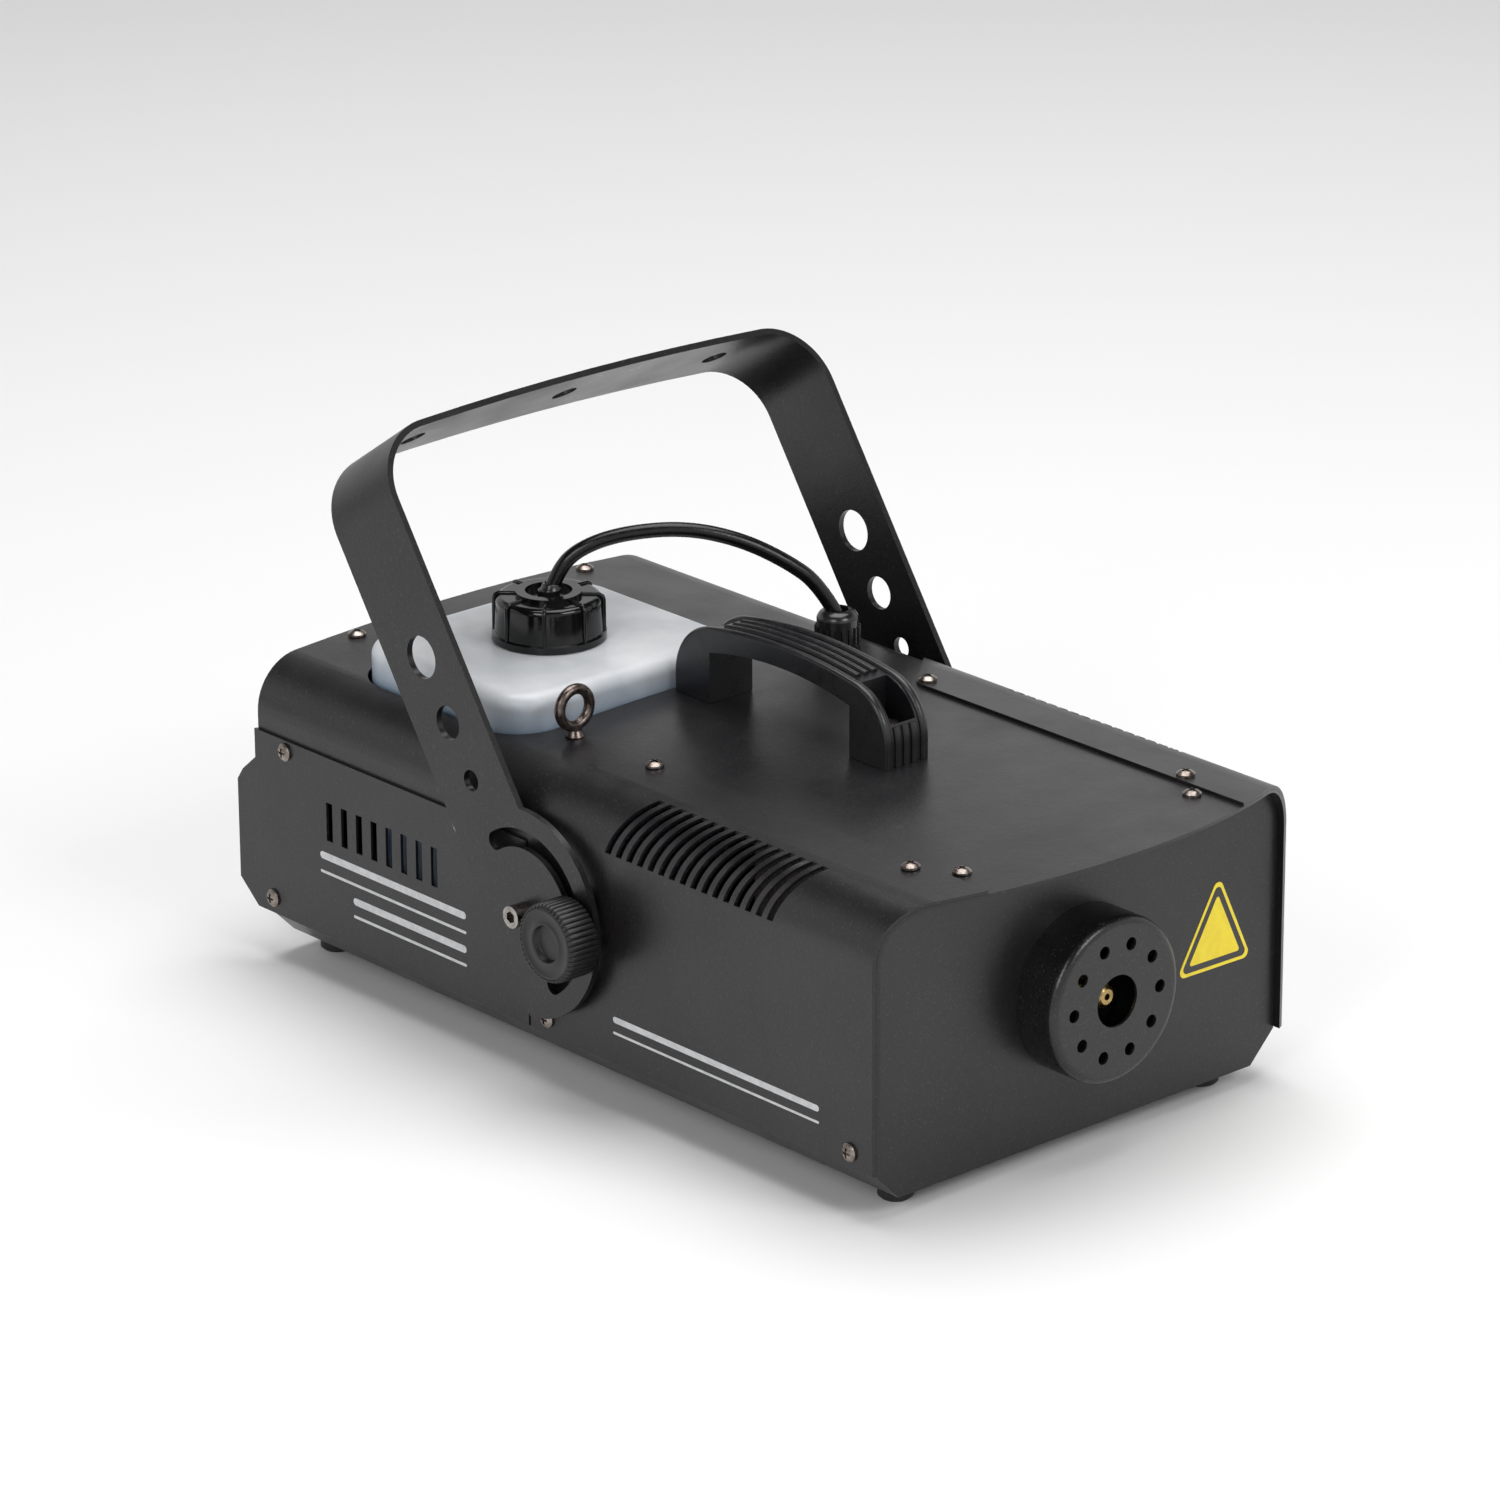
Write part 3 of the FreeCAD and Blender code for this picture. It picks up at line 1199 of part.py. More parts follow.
def hose_bends():
    """The largest arc that each corner of the hose's route has room for."""
    points = [Vector(*point) for point in HOSE_ROUTE]
    radii = []
    for before, corner, after in zip(points, points[1:], points[2:]):
        turn = (corner - before).getAngle(after - corner)
        run = min((corner - before).Length, (after - corner).Length)
        radii.append(0.45 * run / math.tan(turn / 2))
    print("fluid hose bend radii:", [round(radius, 1) for radius in radii])
    return radii


def make_gland():
    centre = ("gland_x", station("gland_y"))
    seat = f"{crown_level('gland_x - gland_across / 2', '(sheet + lap)')} + face_gap"
    flange = hexagon("z", (*centre, seat), "gland_across", "gland_base_tall")
    neck = rod("z", (*centre, seat), "gland_neck", "gland_base_tall + gland_neck_tall")
    thread = rod("z", (*centre, f"{seat} - gland_thread_long"), "gland_thread",
                 "gland_thread_long + 1")
    bore = rod("z", (*centre, f"{seat} - 20"), "gland_bore", "drill_mid")
    keep(cut(fuse(flange, neck, thread), bore), "gland_body")
    nut_low = f"{seat} + gland_base_tall + face_gap"
    nut = turned("GlandNut", "z", (*centre, nut_low), [
        ("gland_neck + face_gap", "0"),
        ("gland_nut_radius", "0"),
        ("gland_nut_radius", "gland_nut_tall - gland_dome", "gland_dome + 1"),
        ("gland_nut_radius - gland_dome", "gland_nut_tall"),
        ("gland_mouth", "gland_nut_tall"),
        ("gland_mouth", "gland_nut_tall - gland_mouth_deep"),
        ("gland_bore", "gland_nut_tall - gland_mouth_deep"),
        ("gland_bore", "gland_neck_tall + face_gap"),
        ("gland_neck + face_gap", "gland_neck_tall + face_gap"),
    ])
    keep(nut, "gland_nut")
    under = f"{crown_level('gland_x + gland_across / 2', '(2 * sheet + lap)')} - face_gap"
    lock = hexagon("z", (*centre, f"{under} - gland_locknut"), "gland_across", "gland_locknut")
    keep(cut(lock, rod("z", (*centre, f"{under} - 10"), "gland_thread + thread_gap",
                       "drill_short")),
         "gland_locknut")


def make_eye():
    centre = ("eye_x", station("eye_y"))
    seat = f"{crown_level('-eye_x - eye_collar', '(sheet + lap)')} + face_gap"
    ring = doc.addObject("Part::Torus", "Ring")
    bind(ring, Radius1="eye_ring", Radius2="eye_wire")
    place(ring, (*centre, f"{seat} + eye_rise"), TURNS["y"])
    collar = cone("z", (*centre, seat), "eye_collar", "eye_collar - 1.4", "eye_collar_tall")
    shank = rod("z", (*centre, f"{seat} - eye_shank_long"), "eye_shank",
                "eye_shank_long + eye_rise - eye_ring")
    keep(fuse(ring, collar, shank), "eye_bolt")


def eye_nut():
    """The eye bolt's nut, the same as those on the pivot bolts."""
    centre = ("eye_x", station("eye_y"))
    under = f"{crown_level('-eye_x + 6', '(2 * sheet + lap)')} - face_gap"
    nut = hexagon("z", (*centre, f"{under} - nut_thick"), "nut_across", "nut_thick")
    return cut(nut, rod("z", (*centre, f"{under} - 10"), "eye_shank + thread_gap", "drill_short"))


# ------------------------------------------------------------------ screws and feet
def pan_head_screw(axis, at, outwards=True):
    """A screw with a domed cross-slotted head; its seat is at the given place."""
    x, y, z = at
    screw = turned("Screw", axis, at, [
        ("0", "-shank_long"),
        ("shank_radius", "-shank_long"),
        ("shank_radius", "0"),
        ("head_radius", "0"),
        ("head_radius", "head_edge", "head_radius + head_edge"),
        ("0", "head_tall"),
    ])
    depth = "head_tall - cross_deep"
    slots = []
    if axis == "x":
        for across, up in (("cross_wide", "cross_long"), ("cross_long", "cross_wide")):
            slots.append(block((f"{x} + {depth}", f"{y} - {across} / 2", f"{z} - {up} / 2"),
                               ("5", across, up)))
    else:
        for along, across in (("cross_wide", "cross_long"), ("cross_long", "cross_wide")):
            slots.append(block((f"{x} - {along} / 2", f"{y} - {across} / 2", f"{z} + {depth}"),
                               (along, across, "5")))
    return cut(screw, *slots)


def make_screws():
    outer = "(corner_x + corner_radius)"
    side = [pan_head_screw("x", (f"{outer} + face_gap", station(y), level(z)))
            for y, z in SIDE_SCREWS]
    keep(both(together(*side)), "side_screws")
    top = []
    for spots, inset in ((COVER_SCREWS, "0"), (SHELL_SCREWS, "(sheet + lap)")):
        for x, y in spots:
            seat = f"{crown_level(f'{x} - head_radius', inset)} + face_gap"
            top.append(pan_head_screw("z", (x, station(y), seat)))
    keep(both(together(*top)), "top_screws")


def make_feet():
    feet = []
    screws = []
    for x, y in FEET:
        foot = turned("Foot", "z", (x, station(y), "0"), [
            ("foot_screw + lap", "foot_well_deep"),
            ("foot_well", "foot_well_deep"),
            ("foot_well", "0"),
            ("foot_neck", "0"),
            ("foot_radius", "1.5"),
            ("foot_radius", "pan_z - face_gap"),
            ("foot_screw + lap", "pan_z - face_gap"),
        ])
        feet.append(foot)
        head_z = "foot_well_deep - face_gap - foot_head_tall"
        head = rod("z", (x, station(y), head_z), "foot_head", "foot_head_tall")
        shank = rod("z", (x, station(y), head_z), "foot_screw", "foot_screw_long")
        screws.append(fuse(head, shank))
    keep(together(*feet), "rubber_feet")
    keep(together(*screws), "foot_screws")


# ------------------------------------------------------------------ build and write
def check():
    """Stop if anything in the document failed, or a sub-part isn't a good solid."""
    bad = [thing.Name for thing in doc.Objects
           if "Invalid" in thing.State or "Error" in thing.State]
    if bad:
        raise RuntimeError(f"failed objects: {bad}")
    for thing in SUB_PARTS:
        if thing.Shape.isNull() or not thing.Shape.isValid() or not thing.Shape.Solids:
            raise RuntimeError(f"{thing.Label}: no good solid")


def write():
    os.makedirs("parts", exist_ok=True)
    for thing in SUB_PARTS:
        thing.Shape.exportStep(os.path.join("parts", f"{thing.Label}.step"))
        print(f"{thing.Label}: {len(thing.Shape.Solids)} solids")


make_covers()
make_side_plate()
make_pan()
make_front_panel()
make_rear_panel()
make_outlet()
make_pump()
make_board()
make_rear_fittings()
make_yoke()
make_yoke_fittings()
make_handle()
make_tank()
make_cap()
make_hose()
make_gland()
make_eye()
make_screws()
make_feet()
doc.recompute()
check()
write()
print(len(SUB_PARTS), "sub-parts")
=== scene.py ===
import json
import math

import bmesh
import bpy
from mathutils import Euler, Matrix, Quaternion, Vector


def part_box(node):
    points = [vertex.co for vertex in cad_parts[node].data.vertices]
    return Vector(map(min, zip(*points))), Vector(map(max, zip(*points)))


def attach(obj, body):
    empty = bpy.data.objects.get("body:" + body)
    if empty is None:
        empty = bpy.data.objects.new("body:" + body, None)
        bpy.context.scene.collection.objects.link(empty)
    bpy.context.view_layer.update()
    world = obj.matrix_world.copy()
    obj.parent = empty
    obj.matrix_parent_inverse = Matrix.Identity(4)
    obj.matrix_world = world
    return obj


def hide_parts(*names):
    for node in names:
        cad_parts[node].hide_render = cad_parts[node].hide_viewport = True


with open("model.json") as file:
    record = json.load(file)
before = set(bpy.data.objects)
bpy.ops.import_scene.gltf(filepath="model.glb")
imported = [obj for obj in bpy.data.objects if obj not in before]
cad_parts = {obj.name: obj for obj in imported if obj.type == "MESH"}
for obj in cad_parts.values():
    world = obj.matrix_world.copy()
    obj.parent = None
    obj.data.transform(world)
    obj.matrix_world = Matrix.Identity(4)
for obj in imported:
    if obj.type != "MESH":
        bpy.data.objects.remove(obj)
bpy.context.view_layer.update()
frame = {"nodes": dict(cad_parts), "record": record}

# Looks of the fog machine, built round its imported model. Metres, z up, nozzle towards -y.
nodes = frame["nodes"]
MM = 0.001


def tuned(node, **sockets):
    """Sets a node's inputs by name, with spaces written as underscores."""
    for name, value in sockets.items():
        node.inputs[name.replace("_", " ")].default_value = value
    return node


def shown(name, data):
    """Puts an object with this data in the scene."""
    made = bpy.data.objects.new(name, data)
    bpy.context.scene.collection.objects.link(made)
    return made


# ------------------------------------------------------------------ camera
CAMERA_TURN, CAMERA_RISE, CAMERA_ROLL = -41.56, 20.48, -0.30
CAMERA_TARGET = Vector((-0.07839, -0.07370, 0.17208))
CAMERA_DISTANCE = 3.07256
CAMERA_LENS, CAMERA_SENSOR = 168.525, 36
CAMERA_NEAR, CAMERA_FAR = 0.05, 60


def place_camera():
    turn, rise = math.radians(CAMERA_TURN), math.radians(CAMERA_RISE)
    back = Vector((math.sin(turn) * math.cos(rise), -math.cos(turn) * math.cos(rise),
                   math.sin(rise)))
    data = bpy.data.cameras.new("studio_camera")
    data.sensor_width = CAMERA_SENSOR
    data.lens = CAMERA_LENS
    data.clip_start, data.clip_end = CAMERA_NEAR, CAMERA_FAR
    camera = shown("studio_camera", data)
    camera.location = CAMERA_TARGET + back * CAMERA_DISTANCE
    camera.rotation_mode = "QUATERNION"
    level = (-back).to_track_quat("-Z", "Y")
    camera.rotation_quaternion = level @ Quaternion((0, 0, 1), math.radians(CAMERA_ROLL))
    bpy.context.scene.camera = camera


# ------------------------------------------------------------------ finishes
class Finish:
    """One surface finish: a shader with grain, tone and relief laid over it."""

    # The colour sockets of a Mix node, which shares its names with its other kinds.
    MIX_FIRST, MIX_SECOND, MIX_RESULT = 6, 7, 2

    def __init__(self, name, colour, roughness, metallic=0.0, **sockets):
        self.material = bpy.data.materials.new(name)
        self.material.use_nodes = True
        self.tree = self.material.node_tree
        self.shader = self.tree.nodes["Principled BSDF"]
        tuned(self.shader, Base_Color=(*colour, 1), Roughness=roughness, Metallic=metallic,
              **sockets)
        self.place = self.node("ShaderNodeTexCoord").outputs["Object"]
        self.normal = None

    def node(self, kind, **settings):
        made = self.tree.nodes.new(kind)
        for name, value in settings.items():
            setattr(made, name, value)
        return made

    def link(self, source, target):
        self.tree.links.new(source, target)

    def stretched(self, stretch):
        """Object coordinates multiplied by stretch, so a small factor draws a pattern out."""
        mapping = tuned(self.node("ShaderNodeMapping"), Scale=stretch)
        self.link(self.place, mapping.inputs["Vector"])
        return mapping.outputs["Vector"]

    def noise(self, size, detail=2.0, rough=0.5, where=None):
        """Soft blotches about as wide as size, in metres."""
        noise = tuned(self.node("ShaderNodeTexNoise"), Scale=1 / size, Detail=detail,
                      Roughness=rough)
        self.link(where or self.place, noise.inputs["Vector"])
        return noise.outputs["Fac"]

    def cells(self, size, where):
        """Distance from the middle of cells about as wide as size."""
        voronoi = tuned(self.node("ShaderNodeTexVoronoi"), Scale=1 / size)
        self.link(where, voronoi.inputs["Vector"])
        return voronoi.outputs["Distance"]

    def waves(self, size, bands):
        """Even bands across the X or Y direction."""
        wave = tuned(self.node("ShaderNodeTexWave", bands_direction=bands), Scale=1 / size)
        self.link(self.place, wave.inputs["Vector"])
        return wave.outputs["Fac"]

    def height(self):
        """How far up the object a point lies, in metres."""
        split = self.node("ShaderNodeSeparateXYZ")
        self.link(self.place, split.inputs["Vector"])
        return split.outputs["Z"]

    def ranged(self, value, low, high, to_low=0.0, to_high=1.0):
        """Spreads the part of a value between low and high over a new range."""
        spread = tuned(self.node("ShaderNodeMapRange"), From_Min=low, From_Max=high,
                       To_Min=to_low, To_Max=to_high)
        self.link(value, spread.inputs["Value"])
        return spread.outputs["Result"]

    def mixed(self, value, first, second):
        """A colour between two, each a plain colour or another mix."""
        mix = self.node("ShaderNodeMix", data_type="RGBA")
        self.link(value, mix.inputs["Factor"])
        for socket, colour in ((mix.inputs[self.MIX_FIRST], first),
                               (mix.inputs[self.MIX_SECOND], second)):
            if isinstance(colour, tuple):
                socket.default_value = (*colour, 1)
            else:
                self.link(colour, socket)
        return mix.outputs[self.MIX_RESULT]

    def colour(self, result):
        self.link(result, self.shader.inputs["Base Color"])

    def roughness(self, result):
        self.link(result, self.shader.inputs["Roughness"])

    def relief(self, value, depth):
        """Lifts the surface by up to depth, in metres, where value is 1."""
        bump = tuned(self.node("ShaderNodeBump"), Strength=1.0, Distance=depth)
        self.link(value, bump.inputs["Height"])
        if self.normal:
            self.link(self.normal, bump.inputs["Normal"])
        self.normal = bump.outputs["Normal"]
        self.link(self.normal, self.shader.inputs["Normal"])


def powder_coat(name, dark, light, rough):
    """Satin black powder coat: a fine even grain over a slow change of tone."""
    coat = Finish(name, dark, rough, Specular_IOR_Level=0.5)
    tone = coat.ranged(coat.noise(0.09, 3), 0.3, 0.7)
    fleck = coat.ranged(coat.noise(0.0011, 1), 0.62, 0.74, 0, 0.5)
    coat.colour(coat.mixed(fleck, coat.mixed(tone, dark, light), (0.05, 0.049, 0.052)))
    coat.roughness(coat.ranged(coat.noise(0.03, 4), 0.3, 0.7, rough - 0.04, rough + 0.05))
    coat.relief(coat.noise(0.0009, 2, 0.6), 0.00007)
    coat.relief(coat.noise(0.004, 1), 0.00005)
    return coat.material


def moulded(name, dark, light, rough, grain, depth, **sockets):
    """Moulded black plastic or rubber with a spark-eroded grain."""
    plastic = Finish(name, dark, rough, **sockets)
    tone = plastic.ranged(plastic.noise(0.018, 3), 0.3, 0.7)
    plastic.colour(plastic.mixed(tone, dark, light))
    plastic.roughness(plastic.ranged(plastic.noise(0.006, 3), 0.3, 0.7, rough - 0.05,
                                     rough + 0.06))
    plastic.relief(plastic.noise(grain, 2), depth)
    return plastic.material


def plated(name, bright, dull, rough, grain=0.0012):
    """Plated metal: bright with duller stains and fine tumbling marks."""
    metal = Finish(name, bright, rough, metallic=1.0)
    stain = metal.ranged(metal.noise(0.005, 4, 0.6), 0.35, 0.65)
    metal.colour(metal.mixed(stain, bright, dull))
    metal.roughness(metal.ranged(metal.noise(0.002, 3), 0.3, 0.7, rough - 0.07, rough + 0.1))
    metal.relief(metal.noise(grain, 3), 0.00004)
    return metal.material


def brushed(name, bright, dull, rough, along):
    """Sheet or cast metal with fine scratches, drawn out where along is small."""
    metal = Finish(name, bright, rough, metallic=1.0)
    scratches = metal.noise(0.0008, 3, where=metal.stretched(along))
    metal.colour(metal.mixed(metal.ranged(metal.noise(0.02, 3), 0.3, 0.7), bright, dull))
    metal.roughness(metal.ranged(scratches, 0.3, 0.7, rough - 0.08, rough + 0.1))
    metal.relief(scratches, 0.00003)
    return metal.material


def tank_plastic():
    """Milky polyethylene, bluer low down where the fluid stands behind it, and whiter above as
    a painted highlight over the top and its upper edge.
    """
    milk = Finish("tank_polyethylene", (0.5, 0.54, 0.58), 0.34, Subsurface_Weight=0.3,
                  Subsurface_Scale=0.008, Specular_IOR_Level=0.45)
    milk.shader.inputs["Subsurface Radius"].default_value = (0.8, 0.9, 1.0)
    cloud = milk.ranged(milk.noise(0.05, 4, 0.55), 0.36, 0.66)
    # Painted highlight: above this height band the top and its upper edge take a brighter,
    # whiter colour standing in for the light falling on them; below it the darker, bluer
    # colour is the fluid behind the wall.
    fluid_line_and_top_highlight = milk.ranged(milk.height(), 0.146, 0.165)
    low = milk.mixed(cloud, (0.15, 0.215, 0.305), (0.31, 0.385, 0.48))
    # The top's colour, painted brighter than the milk itself as a highlight.
    high = milk.mixed(cloud, (0.52, 0.54, 0.565), (0.68, 0.695, 0.71))
    milk.colour(milk.mixed(fluid_line_and_top_highlight, low, high))
    milk.roughness(milk.ranged(milk.noise(0.012, 2), 0.3, 0.7, 0.28, 0.42))
    milk.relief(milk.noise(0.02, 2), 0.0006)
    return milk.material


def insulation_cloth():
    """Woven glass cloth round the heater, browned by heat in places."""
    cloth = Finish("glass_cloth", (0.20, 0.18, 0.15), 0.9, Sheen_Weight=0.3)
    across, along = cloth.waves(0.006, "X"), cloth.waves(0.006, "Y")
    heat = cloth.ranged(cloth.noise(0.04, 3), 0.35, 0.65)
    cloth.colour(cloth.mixed(heat, (0.10, 0.09, 0.075), (0.22, 0.205, 0.18)))
    cloth.relief(across, 0.0002)
    cloth.relief(along, 0.0002)
    return cloth.material


def circuit_board():
    """Green lacquered board with darker copper runs under the lacquer."""
    board = Finish("board_lacquer", (0.01, 0.09, 0.045), 0.35, Coat_Weight=0.3)
    runs = board.ranged(board.cells(0.004, board.stretched((1, 2.4, 1))), 0.25, 0.32)
    board.colour(board.mixed(runs, (0.02, 0.16, 0.08), (0.006, 0.06, 0.03)))
    board.relief(runs, 0.00005)
    return board.material


def printed(name, first, second, rough):
    """A flat film or ink with slight changes in its cover."""
    film = Finish(name, first, rough, Coat_Weight=0.15)
    film.colour(film.mixed(film.ranged(film.noise(0.004, 4), 0.3, 0.7), first, second))
    film.roughness(film.ranged(film.noise(0.002, 2), 0.3, 0.7, rough - 0.05, rough + 0.08))
    film.relief(film.noise(0.0012, 1), 0.00002)
    return film.material


def hose_rubber():
    """Smooth black hose with a slightly uneven skin."""
    rubber = Finish("hose_rubber", (0.003, 0.003, 0.0033), 0.24, Specular_IOR_Level=0.4)
    tone = rubber.ranged(rubber.noise(0.01, 3), 0.3, 0.7)
    rubber.colour(rubber.mixed(tone, (0.002, 0.002, 0.0022), (0.005, 0.005, 0.0055)))
    rubber.roughness(rubber.ranged(rubber.noise(0.004, 3), 0.3, 0.7, 0.2, 0.32))
    rubber.relief(rubber.noise(0.003, 1), 0.00006)
    return rubber.material


FINISHES = {
    "powder_coat": powder_coat("powder_coat", (0.0070, 0.0062, 0.0070),
                               (0.0104, 0.0092, 0.0104), 0.33),
    "yoke_coat": powder_coat("yoke_powder_coat", (0.0036, 0.0032, 0.0036),
                             (0.0062, 0.0056, 0.0062), 0.31),
    "guard_coat": powder_coat("guard_powder_coat", (0.0070, 0.0068, 0.0072),
                              (0.010, 0.0098, 0.010), 0.26),
    "black_plastic": moulded("satin_moulding", (0.0055, 0.0055, 0.0066),
                             (0.0095, 0.0096, 0.0112), 0.31, 0.0006, 0.00004,
                             Specular_IOR_Level=0.55),
    "knob_plastic": moulded("knob_moulding", (0.005, 0.005, 0.0054), (0.009, 0.009, 0.0096),
                            0.36, 0.0005, 0.00006, Specular_IOR_Level=0.45),
    "gloss_plastic": moulded("gloss_moulding", (0.0022, 0.0022, 0.0024),
                             (0.004, 0.004, 0.0044), 0.13, 0.004, 0.00005,
                             Specular_IOR_Level=0.42),
    "gland_plastic": moulded("gland_nylon", (0.006, 0.006, 0.0065), (0.011, 0.011, 0.012),
                             0.22, 0.002, 0.00005, Specular_IOR_Level=0.55),
    "tank_plastic": tank_plastic(),
    "hose": hose_rubber(),
    "rubber": moulded("foot_rubber", (0.008, 0.008, 0.008), (0.016, 0.016, 0.016),
                      0.7, 0.0008, 0.00012),
    "nickel_fastener": plated("nickel_plate", (0.36, 0.315, 0.285), (0.16, 0.13, 0.115), 0.27),
    "eye_bolt": plated("dark_nickel", (0.20, 0.165, 0.15), (0.075, 0.058, 0.052), 0.28, 0.002),
    "bright_steel": plated("bright_steel", (0.44, 0.415, 0.39), (0.24, 0.215, 0.20), 0.24),
    "brass": plated("turned_brass", (0.55, 0.40, 0.17), (0.34, 0.23, 0.09), 0.28),
    "aluminium": brushed("cast_aluminium", (0.52, 0.52, 0.53), (0.40, 0.40, 0.41), 0.42,
                         (1, 1, 1)),
    "steel": brushed("zinc_steel", (0.42, 0.42, 0.43), (0.28, 0.28, 0.30), 0.38, (1, 0.06, 1)),
    "insulation_cloth": insulation_cloth(),
    "board": circuit_board(),
}
STICKER_YELLOW = printed("sticker_yellow", (0.86, 0.68, 0.012), (0.80, 0.61, 0.010), 0.38)
STICKER_BORDER = printed("sticker_border", (0.012, 0.011, 0.010), (0.02, 0.019, 0.017), 0.36)
PRINT_INK = printed("light_ink", (0.60, 0.61, 0.62), (0.48, 0.49, 0.50), 0.45)

# Nodes whose finish isn't the one of their slot in the record.
OWN_FINISH = {
    "yoke": "yoke_coat", "nozzle_guard": "guard_coat", "eye_bolt": "eye_bolt",
    "left_clamp_knob": "knob_plastic", "right_clamp_knob": "knob_plastic",
    "gland_body": "gland_plastic", "gland_nut": "gland_plastic",
    "pivot_bolts": "bright_steel", "clamp_washers": "bright_steel",
}


def paint_cad_nodes():
    """Gives each CAD node its own finish, or the finish of its slot in the record."""
    slot_of = {row["node"]: row["material_slot"] for row in frame["record"]["subparts"]}
    for name, node in nodes.items():
        finish = FINISHES[OWN_FINISH.get(name) or slot_of[name]]
        node.data.materials.clear()
        node.data.materials.append(finish)


# ------------------------------------------------------------------ the hose
HOSE_ROUTE = (
    (-0.0330, 0.1165, 0.1841), (-0.0290, 0.1139, 0.1970), (-0.0206, 0.1084, 0.2063),
    (-0.0047, 0.0980, 0.2124), (0.0193, 0.0817, 0.2138), (0.0408, 0.0671, 0.2070),
    (0.0590, 0.0547, 0.1950), (0.0714, 0.0463, 0.1830), (0.0784, 0.0415, 0.1668),
)
HOSE_DIAMETER = 0.007


def make_hose():
    """The fluid hose, in one arch from the tank's cap to the gland in the cover."""
    line = bpy.data.curves.new("fluid_hose_line", "CURVE")
    line.dimensions = "3D"
    spline = line.splines.new("NURBS")
    spline.points.add(len(HOSE_ROUTE) - 1)
    for point, place in zip(spline.points, HOSE_ROUTE):
        point.co = (*place, 1)
    spline.order_u = 3
    spline.use_endpoint_u = True
    spline.resolution_u = 16
    spline.use_smooth = True
    line.bevel_depth = HOSE_DIAMETER / 2
    line.bevel_resolution = 7
    line.use_fill_caps = True
    hose = shown("hose_run", line)
    line.materials.append(FINISHES["hose"])
    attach(hose, "housing")
    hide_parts("fluid_hose")


# ------------------------------------------------------------------ plain mesh tools
def piece(name, mesh, body, slot_name, *materials):
    """A finished mesh that rides on a body and takes the materials it is given."""
    made = shown(name, mesh)
    for material in materials:
        mesh.materials.append(material)
    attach(made, body)
    return made


def filled(name, shape):
    """Turns an edited shape into a mesh and lets the shape go."""
    mesh = bpy.data.meshes.new(name)
    shape.to_mesh(mesh)
    shape.free()
    return mesh


def path_mesh(name, points):
    """An open line of edges through the points."""
    mesh = bpy.data.meshes.new(name)
    edges = [(i, i + 1) for i in range(len(points) - 1)]
    mesh.from_pydata([tuple(p) for p in points], edges, [])
    return mesh


def arc_points(start, end, radius, steps):
    """Points on the arc from start to end that bulges to the left of that way."""
    chord = Vector(end) - Vector(start)
    half = chord.length / 2
    left = Vector((-chord.y, chord.x)).normalized()
    centre = (Vector(start) + Vector(end)) / 2 - left * math.sqrt(radius ** 2 - half ** 2)
    first, last = Vector(start) - centre, Vector(end) - centre
    sweep = first.angle_signed(last)
    points = []
    for step in range(1, steps + 1):
        angle = -sweep * step / steps
        points.append(centre + Vector((
            first.x * math.cos(angle) - first.y * math.sin(angle),
            first.x * math.sin(angle) + first.y * math.cos(angle))))
    return points


def lathe(name, outline, centre, turn=(0, 0, 0), steps=48):
    """A closed outline of (radius, height) spun about a line, then turned and placed."""
    shape = bmesh.new()
    ring = [shape.verts.new((r, 0, z)) for r, z in outline]
    edges = [shape.edges.new((ring[i], ring[i + 1])) for i in range(len(ring) - 1)]
    bmesh.ops.spin(shape, geom=ring + edges, axis=(0, 0, 1), cent=(0, 0, 0),
                   angle=2 * math.pi, steps=steps, use_merge=True)
    bmesh.ops.remove_doubles(shape, verts=shape.verts, dist=1e-6)
    bmesh.ops.recalc_face_normals(shape, faces=shape.faces)
    bmesh.ops.rotate(shape, verts=shape.verts, matrix=Euler(turn).to_matrix())
    bmesh.ops.translate(shape, verts=shape.verts, vec=centre)
    for face in shape.faces:
        face.smooth = True
    return filled(name, shape)


